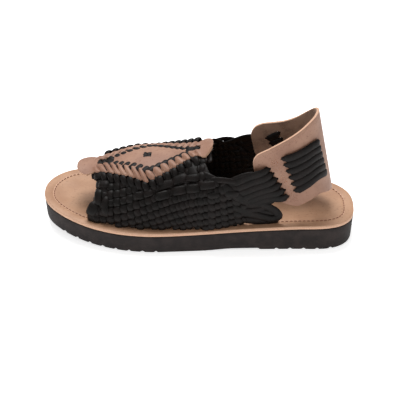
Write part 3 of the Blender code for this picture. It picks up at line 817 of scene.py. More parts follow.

# %% [markdown]
# Where a strip turns round the front edge or doubles over the row below the tan strip, it makes a plump
# fold that stands above the rest. Each is a short strip that rises from the weave, lies
# on top of it and dips back in. The table holds those that the photograph shows, from the toe backwards.
# A chance spread would be quicker, and would put the folds where the real sandal has none.

# %% Folds on the weave
FOLD_RISE = 0.9
FOLD_DIP = 3.2
FOLD_LEATHER = 1.5
FOLD_POINTS = 22
FOLD_END = 1.3
FOLD_DIPS = ((-1.25, 1.0), (-1.0, 0.55), (-0.6, 0.1), (0.0, 0.0), (0.6, 0.1), (1.0, 0.55), (1.25, 1.0))
ShortStrip = namedtuple("ShortStrip", "behind_toe place turn half_length half_width height")
FOLDS = (
    ShortStrip(50.0, 11.5, 66, 6.4, 4.8, 3.9),
    ShortStrip(55.3, 22.5, 88, 6.0, 3.6, 4.4),
    ShortStrip(61.6, 16.5, 90, 7.5, 3.3, 4.2),
    ShortStrip(59.5, 33.8, 15, 4.8, 3.6, 4.5),
    ShortStrip(54.8, 42.5, 35, 6.0, 4.6, 4.2),
    ShortStrip(66.0, 44.0, 60, 5.0, 3.2, 3.8),
    ShortStrip(91.0, 30.3, 10, 4.3, 3.6, 4.0),
    ShortStrip(99.3, 32.6, 22, 4.6, 3.0, 4.0),
    ShortStrip(111.5, 31.7, 15, 6.2, 3.9, 4.7),
    ShortStrip(126.4, 36.2, 14, 6.2, 3.9, 4.7),
    ShortStrip(138.3, 38.6, 10, 6.0, 3.9, 4.6),
    ShortStrip(151.0, 42.2, 12, 6.8, 3.6, 4.4),
    ShortStrip(171.0, 35.5, -8, 6.0, 3.4, 4.3),
    ShortStrip(155.5, 34.8, 8, 4.6, 3.0, 4.1),
    ShortStrip(115.0, 40.6, 22, 6.6, 3.8, 4.2),
    ShortStrip(126.5, 45.0, 22, 7.0, 4.0, 4.3),
    ShortStrip(138.0, 46.6, 8, 5.8, 3.2, 4.5),
)


def dipping_route(side, strip, dips, depth, count):
    """The route of a short strip whose ends dip, at shares of its half length and of the depth."""
    turn = math.radians(strip.turn)
    rows = []
    for share, dip in dips:
        along = share * strip.half_length
        rows.append((
            strip.behind_toe + along * math.cos(turn),
            strip.place + along * math.sin(turn),
            strip.height - depth * dip,
        ))
    return route_on_last(side, smooth_route(rows, count))


def fold_piece(side, fold):
    raised = fold._replace(height=fold.height + FOLD_RISE)
    points, normals = dipping_route(side, raised, FOLD_DIPS, FOLD_DIP, FOLD_POINTS)
    end = FOLD_END * fold.half_width * MM
    return rolled_strip(points, normals, fold.half_width * MM, FOLD_LEATHER * MM, end)


weave_folds = join_as("weave_folds", [fold_piece(side, fold) for side in (-1, 1) for fold in FOLDS])
print("folds", len(FOLDS), "on each side")

# %% [markdown]
# Round the front edge the strips turn from outside to inside. Each turn is a strip that starts inside,
# comes forward, wraps the edge and ends outside under the weave. Bending the rows' own ends round would
# save these pieces, but a row ends at any height, and the turns have to stand evenly along the edge.

# %% Turns round the front edge
FRONT_TURN_PITCH = 7.4
FRONT_TURN_HALF = 3.7
FRONT_TURN_LEATHER = 1.0
FRONT_TURN_POINTS = 34
FRONT_TURN_LOWEST = 4.0
FRONT_TURN_MARGIN = 2
FRONT_STATION = 0.050
FRONT_OVERHANG = 1.5
GIRTH_PROBE = ((4, -1, 2), (4, 1, 2))
TurnRow = namedtuple("TurnRow", "behind_tip up out")
TURN_ROWS = (
    TurnRow(13.0, 1.0, 0.9),
    TurnRow(5.0, 0.5, 0.4),
    TurnRow(0.6, 0.0, 0.7),
    TurnRow(-0.9, 0.0, 1.9),
    TurnRow(0.4, 0.0, 3.4),
    TurnRow(4.0, 0.4, 4.0),
    TurnRow(8.0, 1.2, 3.4),
    TurnRow(12.0, 2.0, 1.8),
)


def front_turn(side, up):
    tip = between(WEAVE_ENDS, "front", up) - FRONT_OVERHANG
    rows = [(tip + row.behind_tip, up + row.up, row.out) for row in TURN_ROWS]
    points = np.array(route_on_last(side, smooth_route(rows, FRONT_TURN_POINTS))[0])
    tangent = unit(np.gradient(points, axis=0))
    probe = [(tip + behind, up + more, out) for behind, more, out in GIRTH_PROBE]
    lower, upper = route_on_last(side, probe)[0]
    across = unit(upper - lower) * -side
    normals = unit(np.cross(np.broadcast_to(across, tangent.shape), tangent))
    return rolled_strip(points, normals, FRONT_TURN_HALF * MM, FRONT_TURN_LEATHER * MM)


def make_front_turns():
    pieces = []
    for side, half_girth in zip((-1, 1), half_girths(FRONT_STATION)):
        up = FRONT_TURN_LOWEST
        while up < half_girth / MM - FRONT_TURN_MARGIN:
            pieces.append(front_turn(side, up))
            up += FRONT_TURN_PITCH
    return pieces


front_turns = join_as("front_turns", make_front_turns())
print("front turns have", len(front_turns.data.polygons), "faces")

# %% [markdown]
# Under the tan strip the weave goes on from side to side. Only glimpses of it show, through the strip's
# windows and from inside, so it is a plain square weave on the ridge of the last.

# %% Weave under the tan strip
TOP_PITCH = 7.3
TOP_START, TOP_END = 49.0, 152.0
TOP_STEP = 1.2
TOP_ROWS = range(-4, 5)
TOP_ROW_OVERLAP, TOP_CROSSING_OVERLAP = 2, 3


def ridge_strip(table):
    return rolled_strip(*route_on_last(RIDGE, table), HALF_STRIP * MM, HALF_LEATHER * MM)


def make_top_weave():
    pieces = []
    for k in TOP_ROWS:
        girth = k * TOP_PITCH
        table = [
            (s, girth, WEAVE_MIDDLE + WEAVE_SWING * over_under((s - TOP_START) / TOP_PITCH + k))
            for s in np.arange(TOP_START, TOP_END, TOP_STEP)
            if abs(girth) < between(STRIP_ROWS, "edge", s) + TOP_ROW_OVERLAP
        ]
        if len(table) >= SHORTEST_RUN:
            pieces.append(ridge_strip(table))
    for i in range(int((TOP_END - TOP_START) / TOP_PITCH) + 1):
        s = TOP_START + i * TOP_PITCH
        reach = between(STRIP_ROWS, "edge", s) + TOP_CROSSING_OVERLAP
        pieces.append(ridge_strip([
            (s, girth, WEAVE_MIDDLE - WEAVE_SWING * over_under(girth / TOP_PITCH + i))
            for girth in np.arange(-reach, reach + 0.1, TOP_STEP)
        ]))
    return pieces


weave_top_piece = join_as("weave_under_strip", make_top_weave())
print("weave under the strip has", len(weave_top_piece.data.polygons), "faces")

# %% [markdown]
# The collar is edged with strips that leave the weave, lie along its rim and dip back in like a braid.
# Two wide strips come down from under the tan strip, and at the bottom a doubled strip makes the loop
# that ends the weave behind. All are routes drawn on the side of the last, because each goes its
# own way and no rule gives them. A route's rows hold behind the toe, up from the base and off the last.

# %% Collar edge, side straps and rear loop
COLLAR_POINTS = 40
COLLAR_END = 0.7
Route = namedtuple("Route", "half_width half_thickness rows")
COLLAR_ROUTES = (
    Route(4.2, 1.3, (
        (134.5, 64, 3.2), (136, 57, 4.2), (138.5, 51, 4.6), (140.5, 46.5, 4.2), (141.5, 43, 2.4),
    )),
    Route(3.9, 1.3, (
        (142.5, 68, 2.6), (144.5, 61, 3.0), (147.5, 54, 3.2), (150, 49, 2.8), (151, 45, 1.6),
    )),
    Route(2.7, 1.2, (
        (139, 53, 1.4), (144, 52, 2.8), (150, 50.3, 3.6), (156, 47.8, 3.0), (161, 45.5, 1.4),
    )),
    Route(2.7, 1.2, (
        (146, 44.5, 2.2), (152, 46, 3.2), (158, 47, 4.0), (166, 47, 4.4), (174, 45, 3.6), (180, 42, 2.0),
    )),
    Route(2.4, 1.1, (
        (160, 44, 1.4), (168, 45.5, 2.2), (175, 48.5, 3.0), (182, 51, 3.0), (190, 52, 2.4),
    )),
    Route(4.0, 1.2, (
        (160, 42.6, 2.6), (166, 40.5, 4.2), (172, 35.5, 4.6), (178, 30, 4.4), (184, 25, 3.4), (190, 21, 2.0),
    )),
    Route(3.8, 1.3, (
        (172, 13.5, 1.4), (180, 14.5, 3.6), (190, 12.5, 4.2), (200, 8.5, 4.3), (207, 6.2, 4.2),
        (212.0, 8.5, 4.0), (210.0, 13.0, 3.6), (204, 18, 3.4), (198, 21.5, 3.0), (190, 25, 2.0),
    )),
    Route(3.6, 1.2, (
        (174, 8.0, 1.8), (182, 7.0, 3.0), (192, 5.0, 3.4), (201, 3.4, 3.4), (208, 3.0, 3.0), (212, 4.2, 2.0),
    )),
    Route(3.8, 1.2, (
        (168, 22, 1.8), (176, 19.5, 3.8), (184, 16.5, 4.2), (192, 16.0, 3.6), (200, 17.5, 2.6),
        (206, 18, 1.4),
    )),
    Route(3.0, 1.4, (
        (180, 13.5, 1.6), (188, 14.5, 2.8), (197, 14.2, 3.0), (204, 12.5, 3.0), (209.5, 10.5, 2.4),
    )),
    Route(3.4, 1.2, (
        (172, 19.5, 1.8), (182, 20.5, 3.0), (192, 21.8, 3.2), (200, 23.2, 3.0), (208, 25.0, 1.8),
    )),
)


def collar_strip(side, route):
    points, normals = route_on_last(side, smooth_route(route.rows, COLLAR_POINTS))
    end = route.half_width * COLLAR_END * MM
    return rolled_strip(points, normals, route.half_width * MM, route.half_thickness * MM, end)


collar_strips = [collar_strip(side, route) for side in (-1, 1) for route in COLLAR_ROUTES]
collar_edge = join_as("collar_edge", collar_strips)
print("collar edge has", len(collar_edge.data.polygons), "faces")

# %% [markdown]
# The heel strap is one piece of tan leather bent round the heel. Its rows hold where its lower and upper
# edges run, and a place on it is a column round the heel and a share of the height.

# %% The heel strap's surface
COUNTER_HEIGHT = 0.0985
COUNTER_THICKNESS = 0.0022
COUNTER_CORNER = 0.0080
LACE_COUNT = 6
SLIT_PITCH = 0.0060
CounterRow = namedtuple(
    "CounterRow", "column station_low side_low height_low station_top side_top height_top"
)
COUNTER_ROWS = (
    CounterRow(0, 0.690, -0.95, 0.308, 0.669, -0.93, 0.633),
    CounterRow(1, 0.733, -0.96, 0.227, 0.708, -0.91, 0.689),
    CounterRow(2, 0.776, -0.96, 0.171, 0.744, -0.89, 0.750),
    CounterRow(3, 0.815, -0.93, 0.140, 0.779, -0.82, 0.806),
    CounterRow(4, 0.851, -0.85, 0.181, 0.812, -0.68, 0.861),
    CounterRow(5, 0.883, -0.65, 0.222, 0.838, -0.48, 0.907),
    CounterRow(6, 0.910, -0.33, 0.191, 0.858, -0.24, 0.943),
    CounterRow(7, 0.924, 0.04, 0.171, 0.867, 0.04, 0.963),
    CounterRow(8, 0.913, 0.39, 0.186, 0.858, 0.30, 0.940),
    CounterRow(9, 0.887, 0.70, 0.217, 0.835, 0.54, 0.862),
    CounterRow(10, 0.854, 0.89, 0.181, 0.804, 0.73, 0.773),
    CounterRow(11, 0.815, 0.97, 0.141, 0.770, 0.85, 0.714),
    CounterRow(12, 0.772, 0.99, 0.171, 0.733, 0.91, 0.685),
    CounterRow(13, 0.726, 0.99, 0.232, 0.697, 0.93, 0.664),
    CounterRow(14, 0.683, 0.97, 0.298, 0.660, 0.93, 0.604),
)
SlitRow = namedtuple("SlitRow", "column share lean spread")
SLIT_ROWS = (
    SlitRow(1.75, 0.38, 26.0, 1.00),
    SlitRow(2.65, 0.50, 12.0, 1.13),
    SlitRow(5.98, 0.48, 6.0, 1.05),
)
COUNTER_LAST = len(COUNTER_ROWS) - 1
SLOPE_STEP = 0.05
COUNTER_HALF = HEEL_WIDTH / 2 - BASE_INSET * VAMP_ROWS[-1].inset - SEAM - COUNTER_THICKNESS / 2
COUNTER_COLUMN = SOLE_LENGTH * (COUNTER_ROWS[2].station_low - COUNTER_ROWS[0].station_low) / 2
COUNTER_ROUNDING = COUNTER_CORNER / COUNTER_COLUMN
SLIT_LINES = list(SLIT_ROWS) + [
    row._replace(column=COUNTER_LAST - row.column, lean=-row.lean) for row in reversed(SLIT_ROWS)
]


def counter_point(at, share):
    """The strap's middle surface, at a column and a share of its height there."""
    low, top = (
        np.array((
            SOLE_LENGTH * read(COUNTER_ROWS, "station_" + edge, at) - SOLE_LENGTH / 2,
            COUNTER_HALF * read(COUNTER_ROWS, "side_" + edge, at) - OUTLINE_MIDDLE,
            footbed_top(SOLE_LENGTH) + COUNTER_HEIGHT * read(COUNTER_ROWS, "height_" + edge, at),
        ))
        for edge in ("low", "top")
    )
    return low + (top - low) * share


def counter_frame(at, share):
    """The way along the strap for one column, the way up its whole height, and its outward normal."""
    low, high = max(at - SLOPE_STEP, 0.0), min(at + SLOPE_STEP, COUNTER_LAST)
    along = (counter_point(high, share) - counter_point(low, share)) / (high - low)
    up = counter_point(at, 1.0) - counter_point(at, 0.0)
    normal = np.cross(along, up)
    return along, up, normal / np.linalg.norm(normal)


def slit_place(lace, line):
    """Column and share of a lace's slit in a line."""
    row = SLIT_LINES[line]
    along, up = counter_frame(row.column, row.share)[:2]
    down = (lace - (LACE_COUNT - 1) / 2) * SLIT_PITCH * row.spread
    turn = math.radians(row.lean)
    column_turn = down * math.sin(turn) / np.linalg.norm(along)
    return row.column + column_turn, row.share - down * math.cos(turn) / np.linalg.norm(up)


def lace_place(lace, run, share_along):
    one, following = slit_place(lace, run), slit_place(lace, run + 1)
    return tuple(a + (b - a) * share_along for a, b in zip(one, following))


print("heel strap half width", round(COUNTER_HALF * 1000, 1), "mm")

# %% [markdown]
# Slits and dots are punched through the heel strap. A punch is a small prism that stands square to the
# strap. A slit's punch is a diamond, because a lace that is pulled through opens the slit. Two rings and a
# line of dots decorate each side, and a row of dots runs below the top edge. A dot that would meet a slit
# or another dot is left out, so that every cut stays clean.

# %% Punches for the heel strap
SLIT_HALF_LENGTH = 0.0023
SLIT_HALF_WIDTH = 0.0018
DOT_RADIUS = 0.00055
DOT_RING_RADIUS = 0.0026
RING_DOTS = 8
DOT_CORNERS = 6
DOT_SPACING = 1.3
DOT_REACH = 0.8
Dot = namedtuple("Dot", "column share")
DOT_RINGS = (Dot(1.65, 0.72), Dot(2.20, 0.42))
DOT_LINE = (
    Dot(1.55, 0.86), Dot(1.80, 0.62), Dot(2.02, 0.52), Dot(2.32, 0.32), Dot(2.50, 0.22), Dot(2.72, 0.14),
    Dot(2.98, 0.09),
)
DOT_LINE_COUNT = 17
DOT_LINE_GAP = 0.0030
EDGE_DOTS = 52
EDGE_DOT_RADIUS = 0.00038
EDGE_DOT_DROP = 0.0038
ALL_SLITS = [(lace, line) for lace in range(LACE_COUNT) for line in range(len(SLIT_LINES))]


def punch(place, axis, reach, corners):
    """A prism along an axis, whose section is a list of corners relative to its place."""
    low = np.array([place + corner - axis * reach for corner in corners + corners[:1]])
    high = low + axis * 2 * reach
    caps = [np.broadcast_to(end[:-1].mean(axis=0), end.shape) for end in (low, high)]
    return grid_sheet("punch", np.stack([caps[0], low, high, caps[1]]))


def slit_punch(lace, line):
    at, share = slit_place(lace, line)
    normal = counter_frame(at, share)[2]
    run = min(line, len(SLIT_LINES) - 2)
    ahead = counter_point(*slit_place(lace, run + 1)) - counter_point(*slit_place(lace, run))
    forward = unit(ahead - normal * np.dot(ahead, normal))
    half_length, half_width = forward * SLIT_HALF_LENGTH, np.cross(normal, forward) * SLIT_HALF_WIDTH
    corners = [half_length, half_width, -half_length, -half_width]
    return punch(counter_point(at, share), normal, 2 * COUNTER_THICKNESS, corners)


def dot_places():
    """Column, share, and shift along and up in metres, with the radius, of every punched dot."""
    places = []
    line = smooth_route(DOT_LINE, DOT_LINE_COUNT)
    for mirrored in (False, True):
        for ring in DOT_RINGS:
            at = COUNTER_LAST - ring.column if mirrored else ring.column
            places.append((at, ring.share, 0.0, 0.0, DOT_RADIUS))
            for i in range(RING_DOTS):
                turn = 2 * math.pi / RING_DOTS * i
                shift = DOT_RING_RADIUS * math.cos(turn), DOT_RING_RADIUS * math.sin(turn)
                places.append((at, ring.share, *shift, DOT_RADIUS))
        for at, share in line:
            at = COUNTER_LAST - at if mirrored else at
            for aside in (-DOT_LINE_GAP / 2, DOT_LINE_GAP / 2):
                places.append((at, share, aside, 0.0, EDGE_DOT_RADIUS))
    for i in range(EDGE_DOTS):
        at = COUNTER_ROUNDING + (COUNTER_LAST - 2 * COUNTER_ROUNDING) * i / (EDGE_DOTS - 1)
        places.append((at, 1.0, 0.0, -EDGE_DOT_DROP, EDGE_DOT_RADIUS))
    return places


def dot_punches():
    taken = [(counter_point(*slit_place(*slit)), SLIT_HALF_LENGTH + DOT_RADIUS) for slit in ALL_SLITS]
    turns = [2 * math.pi / DOT_CORNERS * i for i in range(DOT_CORNERS)]
    pieces = []
    for at, share, aside, upward, radius in dot_places():
        along, up, normal = counter_frame(at, share)
        along, up = unit(along), unit(up)
        place = counter_point(at, share) + along * aside + up * upward
        if any(np.linalg.norm(place - other) < reach + radius for other, reach in taken):
            continue
        taken.append((place, radius * DOT_SPACING))
        corners = [(along * math.cos(turn) + up * math.sin(turn)) * radius for turn in turns]
        outside = place + normal * COUNTER_THICKNESS
        pieces.append(punch(outside, normal, DOT_REACH * COUNTER_THICKNESS, corners))
    return pieces


print("slits", len(ALL_SLITS), "and at most", len(dot_places()), "dots")

# %% [markdown]
# The strap is made as a flat grid, bent, given its wall with Solidify and softened with Bevel. Then the
# slits and dots are cut, each kind with a Boolean of its own. The wall gets three surfaces: the smooth
# grain outside, the suede flesh side inside and the pale cut edge, also inside the slits. Cloth draped over
# a last could give the same form, but its slits would not line up with the laces.

# %% Heel strap
STRAP_COLUMNS = 132
STRAP_ROWS_UP = 26
CORNER_STEPS = 8
EDGE_BEVEL = 0.00045
BEVEL_ANGLE, STRAP_SMOOTH_ANGLE = 50, 40
WALL_SURFACES = ("grain", "flesh", "edge")
FLESH, CUT_EDGE = 1, 2


def counter_trim(at):
    corner = 1 - cap(min(at, COUNTER_LAST - at), COUNTER_ROUNDING)
    return corner * COUNTER_CORNER / np.linalg.norm(counter_point(at, 1.0) - counter_point(at, 0.0))


def strap_columns():
    ends = [COUNTER_ROUNDING * (1 - math.cos(math.pi / 2 * i / CORNER_STEPS)) for i in range(CORNER_STEPS)]
    first, last = COUNTER_ROUNDING, COUNTER_LAST - COUNTER_ROUNDING
    middle = [first + (last - first) * i / STRAP_COLUMNS for i in range(STRAP_COLUMNS + 1)]
    return ends + middle + [COUNTER_LAST - at for at in reversed(ends)]


def apply_modifier(made, kind, **settings):
    select_only(made)
    modifier = made.modifiers.new(kind.lower(), kind)
    for name, value in settings.items():
        setattr(modifier, name, value)
    bpy.ops.object.modifier_apply(modifier=modifier.name)


def give_wall(made, thickness):
    """Thickens a sheet inwards. The wall has a place for a material on each of its three surfaces."""
    for name in WALL_SURFACES:
        made.data.materials.append(bpy.data.materials.new(f"{made.name}_{name}"))
    apply_modifier(made, "SOLIDIFY", thickness=thickness, offset=-1.0,
                   material_offset=FLESH, material_offset_rim=CUT_EDGE)


def shade_by_angle(made, degrees):
    select_only(made)
    bpy.ops.object.shade_smooth_by_angle(angle=math.radians(degrees))


def cut_with(made, punches):
    """Cuts joined punches through a wall. The cut's faces count as cut edge."""
    cutter = join_as("punches", punches, smooth=False)
    for material in made.data.materials:
        cutter.data.materials.append(material)
    cutter.data.polygons.foreach_set("material_index", [CUT_EDGE] * len(cutter.data.polygons))
    apply_modifier(made, "BOOLEAN", operation="DIFFERENCE", object=cutter, solver="EXACT")
    bpy.data.objects.remove(cutter)


def strap_line(at):
    """Points up the strap's outer face at one column."""
    trim = counter_trim(at)
    shares = [trim + (1 - 2 * trim) * j / STRAP_ROWS_UP for j in range(STRAP_ROWS_UP + 1)]
    return [
        counter_point(at, share) + counter_frame(at, share)[2] * COUNTER_THICKNESS / 2 for share in shares
    ]


def make_heel_strap():
    made = close_up(grid_sheet("heel_strap", np.array([strap_line(at) for at in strap_columns()])))
    rearmost = max(made.data.polygons, key=lambda face: face.center.x)
    if rearmost.normal.dot(Vector(counter_frame(COUNTER_LAST / 2, 0.5)[2])) < 0:
        made.data.flip_normals()
    give_wall(made, COUNTER_THICKNESS)
    apply_modifier(made, "BEVEL", width=EDGE_BEVEL, segments=2, limit_method="ANGLE",
                   angle_limit=math.radians(BEVEL_ANGLE), harden_normals=False)
    cut_with(made, [slit_punch(*slit) for slit in ALL_SLITS])
    cut_with(made, dot_punches())
    shade_by_angle(made, STRAP_SMOOTH_ANGLE)
    return made


heel_strap = make_heel_strap()
print("heel strap has", len(heel_strap.data.polygons), "faces")

# %% [markdown]
# Each of the six laces leaves the weave, crosses to the strap, dives in at the first line of slits, comes
# out at the second, lies over the strap, dives in again behind and comes back the same way on the other
# side. It is one long rolled strip, plump where it lies free and pinched where it passes a slit. Short
# pieces between the slits would look the same from afar, but would show gaps where they dive.

# %% Tables of the heel laces
LACE_HALF = 0.00355
LACE_PINCHED = 0.0019
LACE_LEATHER = 0.00125
LACE_THINNEST = 0.75
LACE_CLEARANCE = 0.0002
LACE_REACH = COUNTER_THICKNESS / 2 + LACE_CLEARANCE + LACE_LEATHER
LACE_TURN = 0.0024
LACE_TURN_LEAD, LACE_TURN_CORE = 0.25, 0.1
LACE_STEP = 0.0013
FEWEST_STEPS = 6
PINCH_START, PINCH_END, FREE_PINCH_END = 0.0002, 0.0030, 0.0032
START_POINTS = 16
ALREADY_PLACED = 5
APPROACH_REACH, ARRIVAL_REACH = 1.3, 1.15
ARRIVAL_LENGTH = 0.0030
LACE_STARTS = (
    ((163, 40.5, 1.6), (170, 42.5, 3.4), (178, 46.2, 3.6), (186, 49.5, 3.2)),
    ((165, 36.5, 1.6), (172, 38.5, 3.6), (180, 41.2, 3.8), (188, 44.0, 3.4)),
    ((170, 32.5, 1.6), (178, 34.8, 3.8), (186, 37.2, 3.8), (193, 39.6, 3.4)),
    ((174, 28.5, 1.6), (182, 30.2, 3.8), (190, 33.0, 3.8), (197, 35.2, 3.4)),
    ((178, 24.5, 1.6), (186, 26.6, 3.6), (193, 29.0, 3.6), (199, 30.6, 3.2)),
    ((181, 20.5, 1.6), (189, 22.8, 3.4), (196, 25.2, 3.4), (202, 26.6, 3.0)),
)


print("laces that leave the weave:", len(LACE_STARTS))

# %% [markdown]
# A lace's route is put together from three kinds of stretch: from the weave to the first slit, the runs
# between two lines of slits, by turns inside and outside the strap, and back into the weave.

# %% Heel laces
def lace_width(distance, free_from):
    """Half the lace's width at a distance from a slit."""
    return LACE_PINCHED + (LACE_HALF - LACE_PINCHED) * ramp(distance, PINCH_START, free_from)


def run_points(lace, run):
    """Points, normals and widths of one run between two lines of slits, outside or inside the strap."""
    one, two = (counter_point(*lace_place(lace, run, at)) for at in (0.0, 1.0))
    length = float(np.linalg.norm(two - one))
    sign = 1 if run % 2 else -1
    count = max(FEWEST_STEPS, round(length / LACE_STEP))
    points, normals, widths = [], [], []
    for i in range(count + 1):
        at = i / count
        near = min(at, 1 - at) * length
        rise = ramp(near, -LACE_TURN * LACE_TURN_LEAD, LACE_TURN)
        out = sign * LACE_REACH * (2 * rise - 1 if near < LACE_TURN * LACE_TURN_CORE else rise)
        place = lace_place(lace, run, at)
        normal = counter_frame(*place)[2]
        points.append(counter_point(*place) + normal * out)
        normals.append(normal)
        widths.append(lace_width(near, PINCH_END))
    return points, normals, widths


def lace_end(lace, side):
    """The stretch from the weave to the first slit on one side, ending at the slit."""
    run, at = (0, 0.0) if side < 0 else (len(SLIT_LINES) - 2, 1.0)
    place = lace_place(lace, run, at)
    normal = counter_frame(*place)[2]
    slit = counter_point(*place)
    points, normals = route_on_last(side, smooth_route(LACE_STARTS[lace], START_POINTS))
    ahead = unit(slit + normal * LACE_REACH * APPROACH_REACH - points[-1])
    before = slit + normal * LACE_REACH * ARRIVAL_REACH - ahead * ARRIVAL_LENGTH
    extra = smooth_route([points[-2], points[-1], before, slit], START_POINTS)[ALREADY_PLACED:]
    shares = np.linspace(0, 1, len(extra))[:, None]
    bent = unit(normals[-1][None, :] * (1 - shares) + normal[None, :] * shares)
    points += list(extra)
    normals += list(bent)
    widths = [lace_width(float(np.linalg.norm(point - slit)), FREE_PINCH_END) for point in points]
    return points, normals, widths


def make_lace(lace):
    parts = [lace_end(lace, -1)]
    for run in range(len(SLIT_LINES) - 1):
        parts.append([values[1:] for values in run_points(lace, run)])
    parts.append([values[::-1][1:] for values in lace_end(lace, 1)])
    points, normals, widths = (sum((part[k] for part in parts), []) for k in range(3))
    widths = np.asarray(widths)
    thick = LACE_LEATHER * (LACE_THINNEST + (1 - LACE_THINNEST) * widths / LACE_HALF)
    return join_as(f"heel_lace_{lace + 1}", [rolled_strip(points, normals, widths, thick)])


heel_laces = [make_lace(lace) for lace in range(LACE_COUNT)]
print("one lace has", len(heel_laces[0].data.polygons), "faces")

# %% [markdown]
# The tan strip lies on the ridge: a tab at each end, a diamond between them. Along both edges of the
# diamond the leather is slit and laced so tightly that its margin swells into lobes like a twisted rope.
# One dense grid is bent over the last, and its height is worked out from the lobes' rhythm. Lobes that are
# separate pieces would show a seam where the real leather runs on into them. Lengths are in millimetres.

# %% The tan strip's surface
STRIP_OUT = 5.2
STRIP_LEATHER = 2.0
LOBE_PITCH = 6.3
LOBE_SWELL = 2.5
LOBE_SWELL_POWER, LOBE_WAVE_POWER = 0.6, 0.7
LOBE_SLANT = 0.60
LOBE_SCALLOP = 1.9
SCALLOP_VALLEY, SWELL_VALLEY = 0.6, 0.35
LOBED = (50.0, 143.0)
LOBE_FADE = 3
NARROWEST_MARGIN = 0.1
EDGE_DROP, EDGE_DROP_FROM = 0.5, 0.93
STRIP_CROWN = 0.5
STRIP_ALONG = 230
STRIP_ACROSS = 64
STRIP_ENDS = (31.4, 157.9)
STRIP_CAP = 11.0
TAN_SMOOTH_ANGLE = 50
Window = namedtuple("Window", "start end half_width")
WINDOWS = (Window(50.5, 65.0, 3.4), Window(131.0, 142.5, 3.0), Window(92.0, 99.0, 3.4))


def lobe_wave(s, girth):
    """0 between two lobes and 1 on top of one. The valleys slant back towards the edge."""
    slant = LOBE_SLANT * (abs(girth) - between(STRIP_ROWS, "slits", s))
    return abs(math.sin(math.pi * (s - slant - LOBED[0]) / LOBE_PITCH))


def lobed(s):
    """1 along the lobes, 0 at the tabs, and a soft step between."""
    start, end = (ramp(s, place - LOBE_FADE, place + LOBE_FADE) for place in LOBED)
    return start * (1 - end)


def strip_place(s, share):
    """Girth and height off the last of the tan strip's top face."""
    edge, slits = between(STRIP_ROWS, "edge", s), between(STRIP_ROWS, "slits", s)
    edge *= cap(min(s - STRIP_ENDS[0], STRIP_ENDS[1] - s), STRIP_CAP)
    margin = lobed(s)
    edge += margin * LOBE_SCALLOP * (lobe_wave(s, edge) - SCALLOP_VALLEY)
    girth = share * edge
    across = (abs(girth) - slits) / max(edge - slits, NARROWEST_MARGIN)
    swell = 0.0
    if 0 < across <= 1:
        arch = math.sin(math.pi * min(across, 1.0)) ** LOBE_SWELL_POWER
        swell = margin * LOBE_SWELL * arch * (lobe_wave(s, girth) ** LOBE_WAVE_POWER - SWELL_VALLEY)
    drop = margin * EDGE_DROP * ramp(abs(share), EDGE_DROP_FROM, 1.0)
    crown = STRIP_CROWN * (1 - share * share)
    return girth, STRIP_OUT + STRIP_LEATHER + swell - drop + crown


print("the tan strip has", round((LOBED[1] - LOBED[0]) / LOBE_PITCH), "lobes on each side")

# %% [markdown]
# The sheet is bent, its windows are cut by taking faces out, and Solidify gives it its wall, with the same
# three surfaces as the heel strap.

# %% Tan strip
def in_window(face, stations, points):
    """Whether a face of the tan strip lies in one of its windows."""
    s = (face.center.x + SOLE_LENGTH / 2) / MM
    nearest = points[np.argmin(np.abs(stations - s))]
    distances = np.linalg.norm(nearest - np.array(face.center), axis=1)
    girth = (2 * np.argmin(distances) / STRIP_ACROSS - 1) * between(STRIP_ROWS, "edge", s)
    return any(window.start < s < window.end and abs(girth) < window.half_width for window in WINDOWS)


def cut_windows(made, stations, points):
    holes = [face.index for face in made.data.polygons if in_window(face, stations, points)]
    select_only(made)
    bpy.ops.object.mode_set(mode="EDIT")
    bpy.ops.mesh.select_all(action="DESELECT")
    bpy.ops.object.mode_set(mode="OBJECT")
    for index in holes:
        made.data.polygons[index].select = True
    bpy.ops.object.mode_set(mode="EDIT")
    bpy.ops.mesh.delete(type="FACE")
    bpy.ops.object.mode_set(mode="OBJECT")


def make_tan_strip():
    stations = np.linspace(*STRIP_ENDS, STRIP_ALONG + 1)
    shares = [2 * j / STRIP_ACROSS - 1 for j in range(STRIP_ACROSS + 1)]
    points = np.array([
        route_on_last(RIDGE, [(s, *strip_place(s, share)) for share in shares])[0] for s in stations
    ])
    made = grid_sheet("tan_strip", points)
    cut_windows(made, stations, points)
    close_up(made)
    if made.data.polygons[len(made.data.polygons) // 2].normal.z < 0:
        made.data.flip_normals()
    give_wall(made, STRIP_LEATHER * MM)
    shade_by_angle(made, TAN_SMOOTH_ANGLE)
    return made


tan_strip = make_tan_strip()
print("tan strip has", len(tan_strip.data.polygons), "faces")

# %% [markdown]
# The black lacing shows on the tan strip as a row of short slanted stitches inside the lobes, as strips
# that come out between the lobes, and as small patches of weave in the two windows and the eye. One long
# lace would have to be drawn under the leather too, where nobody sees it, so only what shows is made.

# %% Lacing through the tan strip
LACING_DIPS = ((-1.2, 1.0), (-0.8, 0.35), (-0.4, 0.05), (0.0, 0.0), (0.4, 0.05), (0.8, 0.35), (1.2, 1.0))
LACING_DEPTH = 1.6
LACING_POINTS = 18
LACING_LEATHER = 0.9
LACING_END = 0.8
LACING_TOP = STRIP_OUT + STRIP_LEATHER + 0.3
BRAID_TILT = 46.0
BRAID_START, BRAID_STOP = LOBED[0] + 13.0, LOBED[1] - 9.0
BRAID_STEP = LOBE_PITCH * 0.86
BRAID_PAST_SLITS = 1.0
BRAID_HALF_LENGTH, BRAID_HALF_WIDTH = 4.7, 2.55
PATCHES_ACROSS = 3
SHORT_WINDOW = 9
PATCH_HALF_LENGTH, PATCH_HALF_WIDTH, PATCH_SINK = 2.8, 1.7, 0.5


def braid_stitches():
    """The slanted stitches along both lines of slits."""
    stitches = []
    for side in (-1, 1):
        s = BRAID_START
        while s < BRAID_STOP:
            girth = side * (between(STRIP_ROWS, "slits", s) + BRAID_PAST_SLITS)
            tilt = -side * BRAID_TILT
            stitches.append(ShortStrip(s, girth, tilt, BRAID_HALF_LENGTH, BRAID_HALF_WIDTH, LACING_TOP))
            s += BRAID_STEP
    return stitches


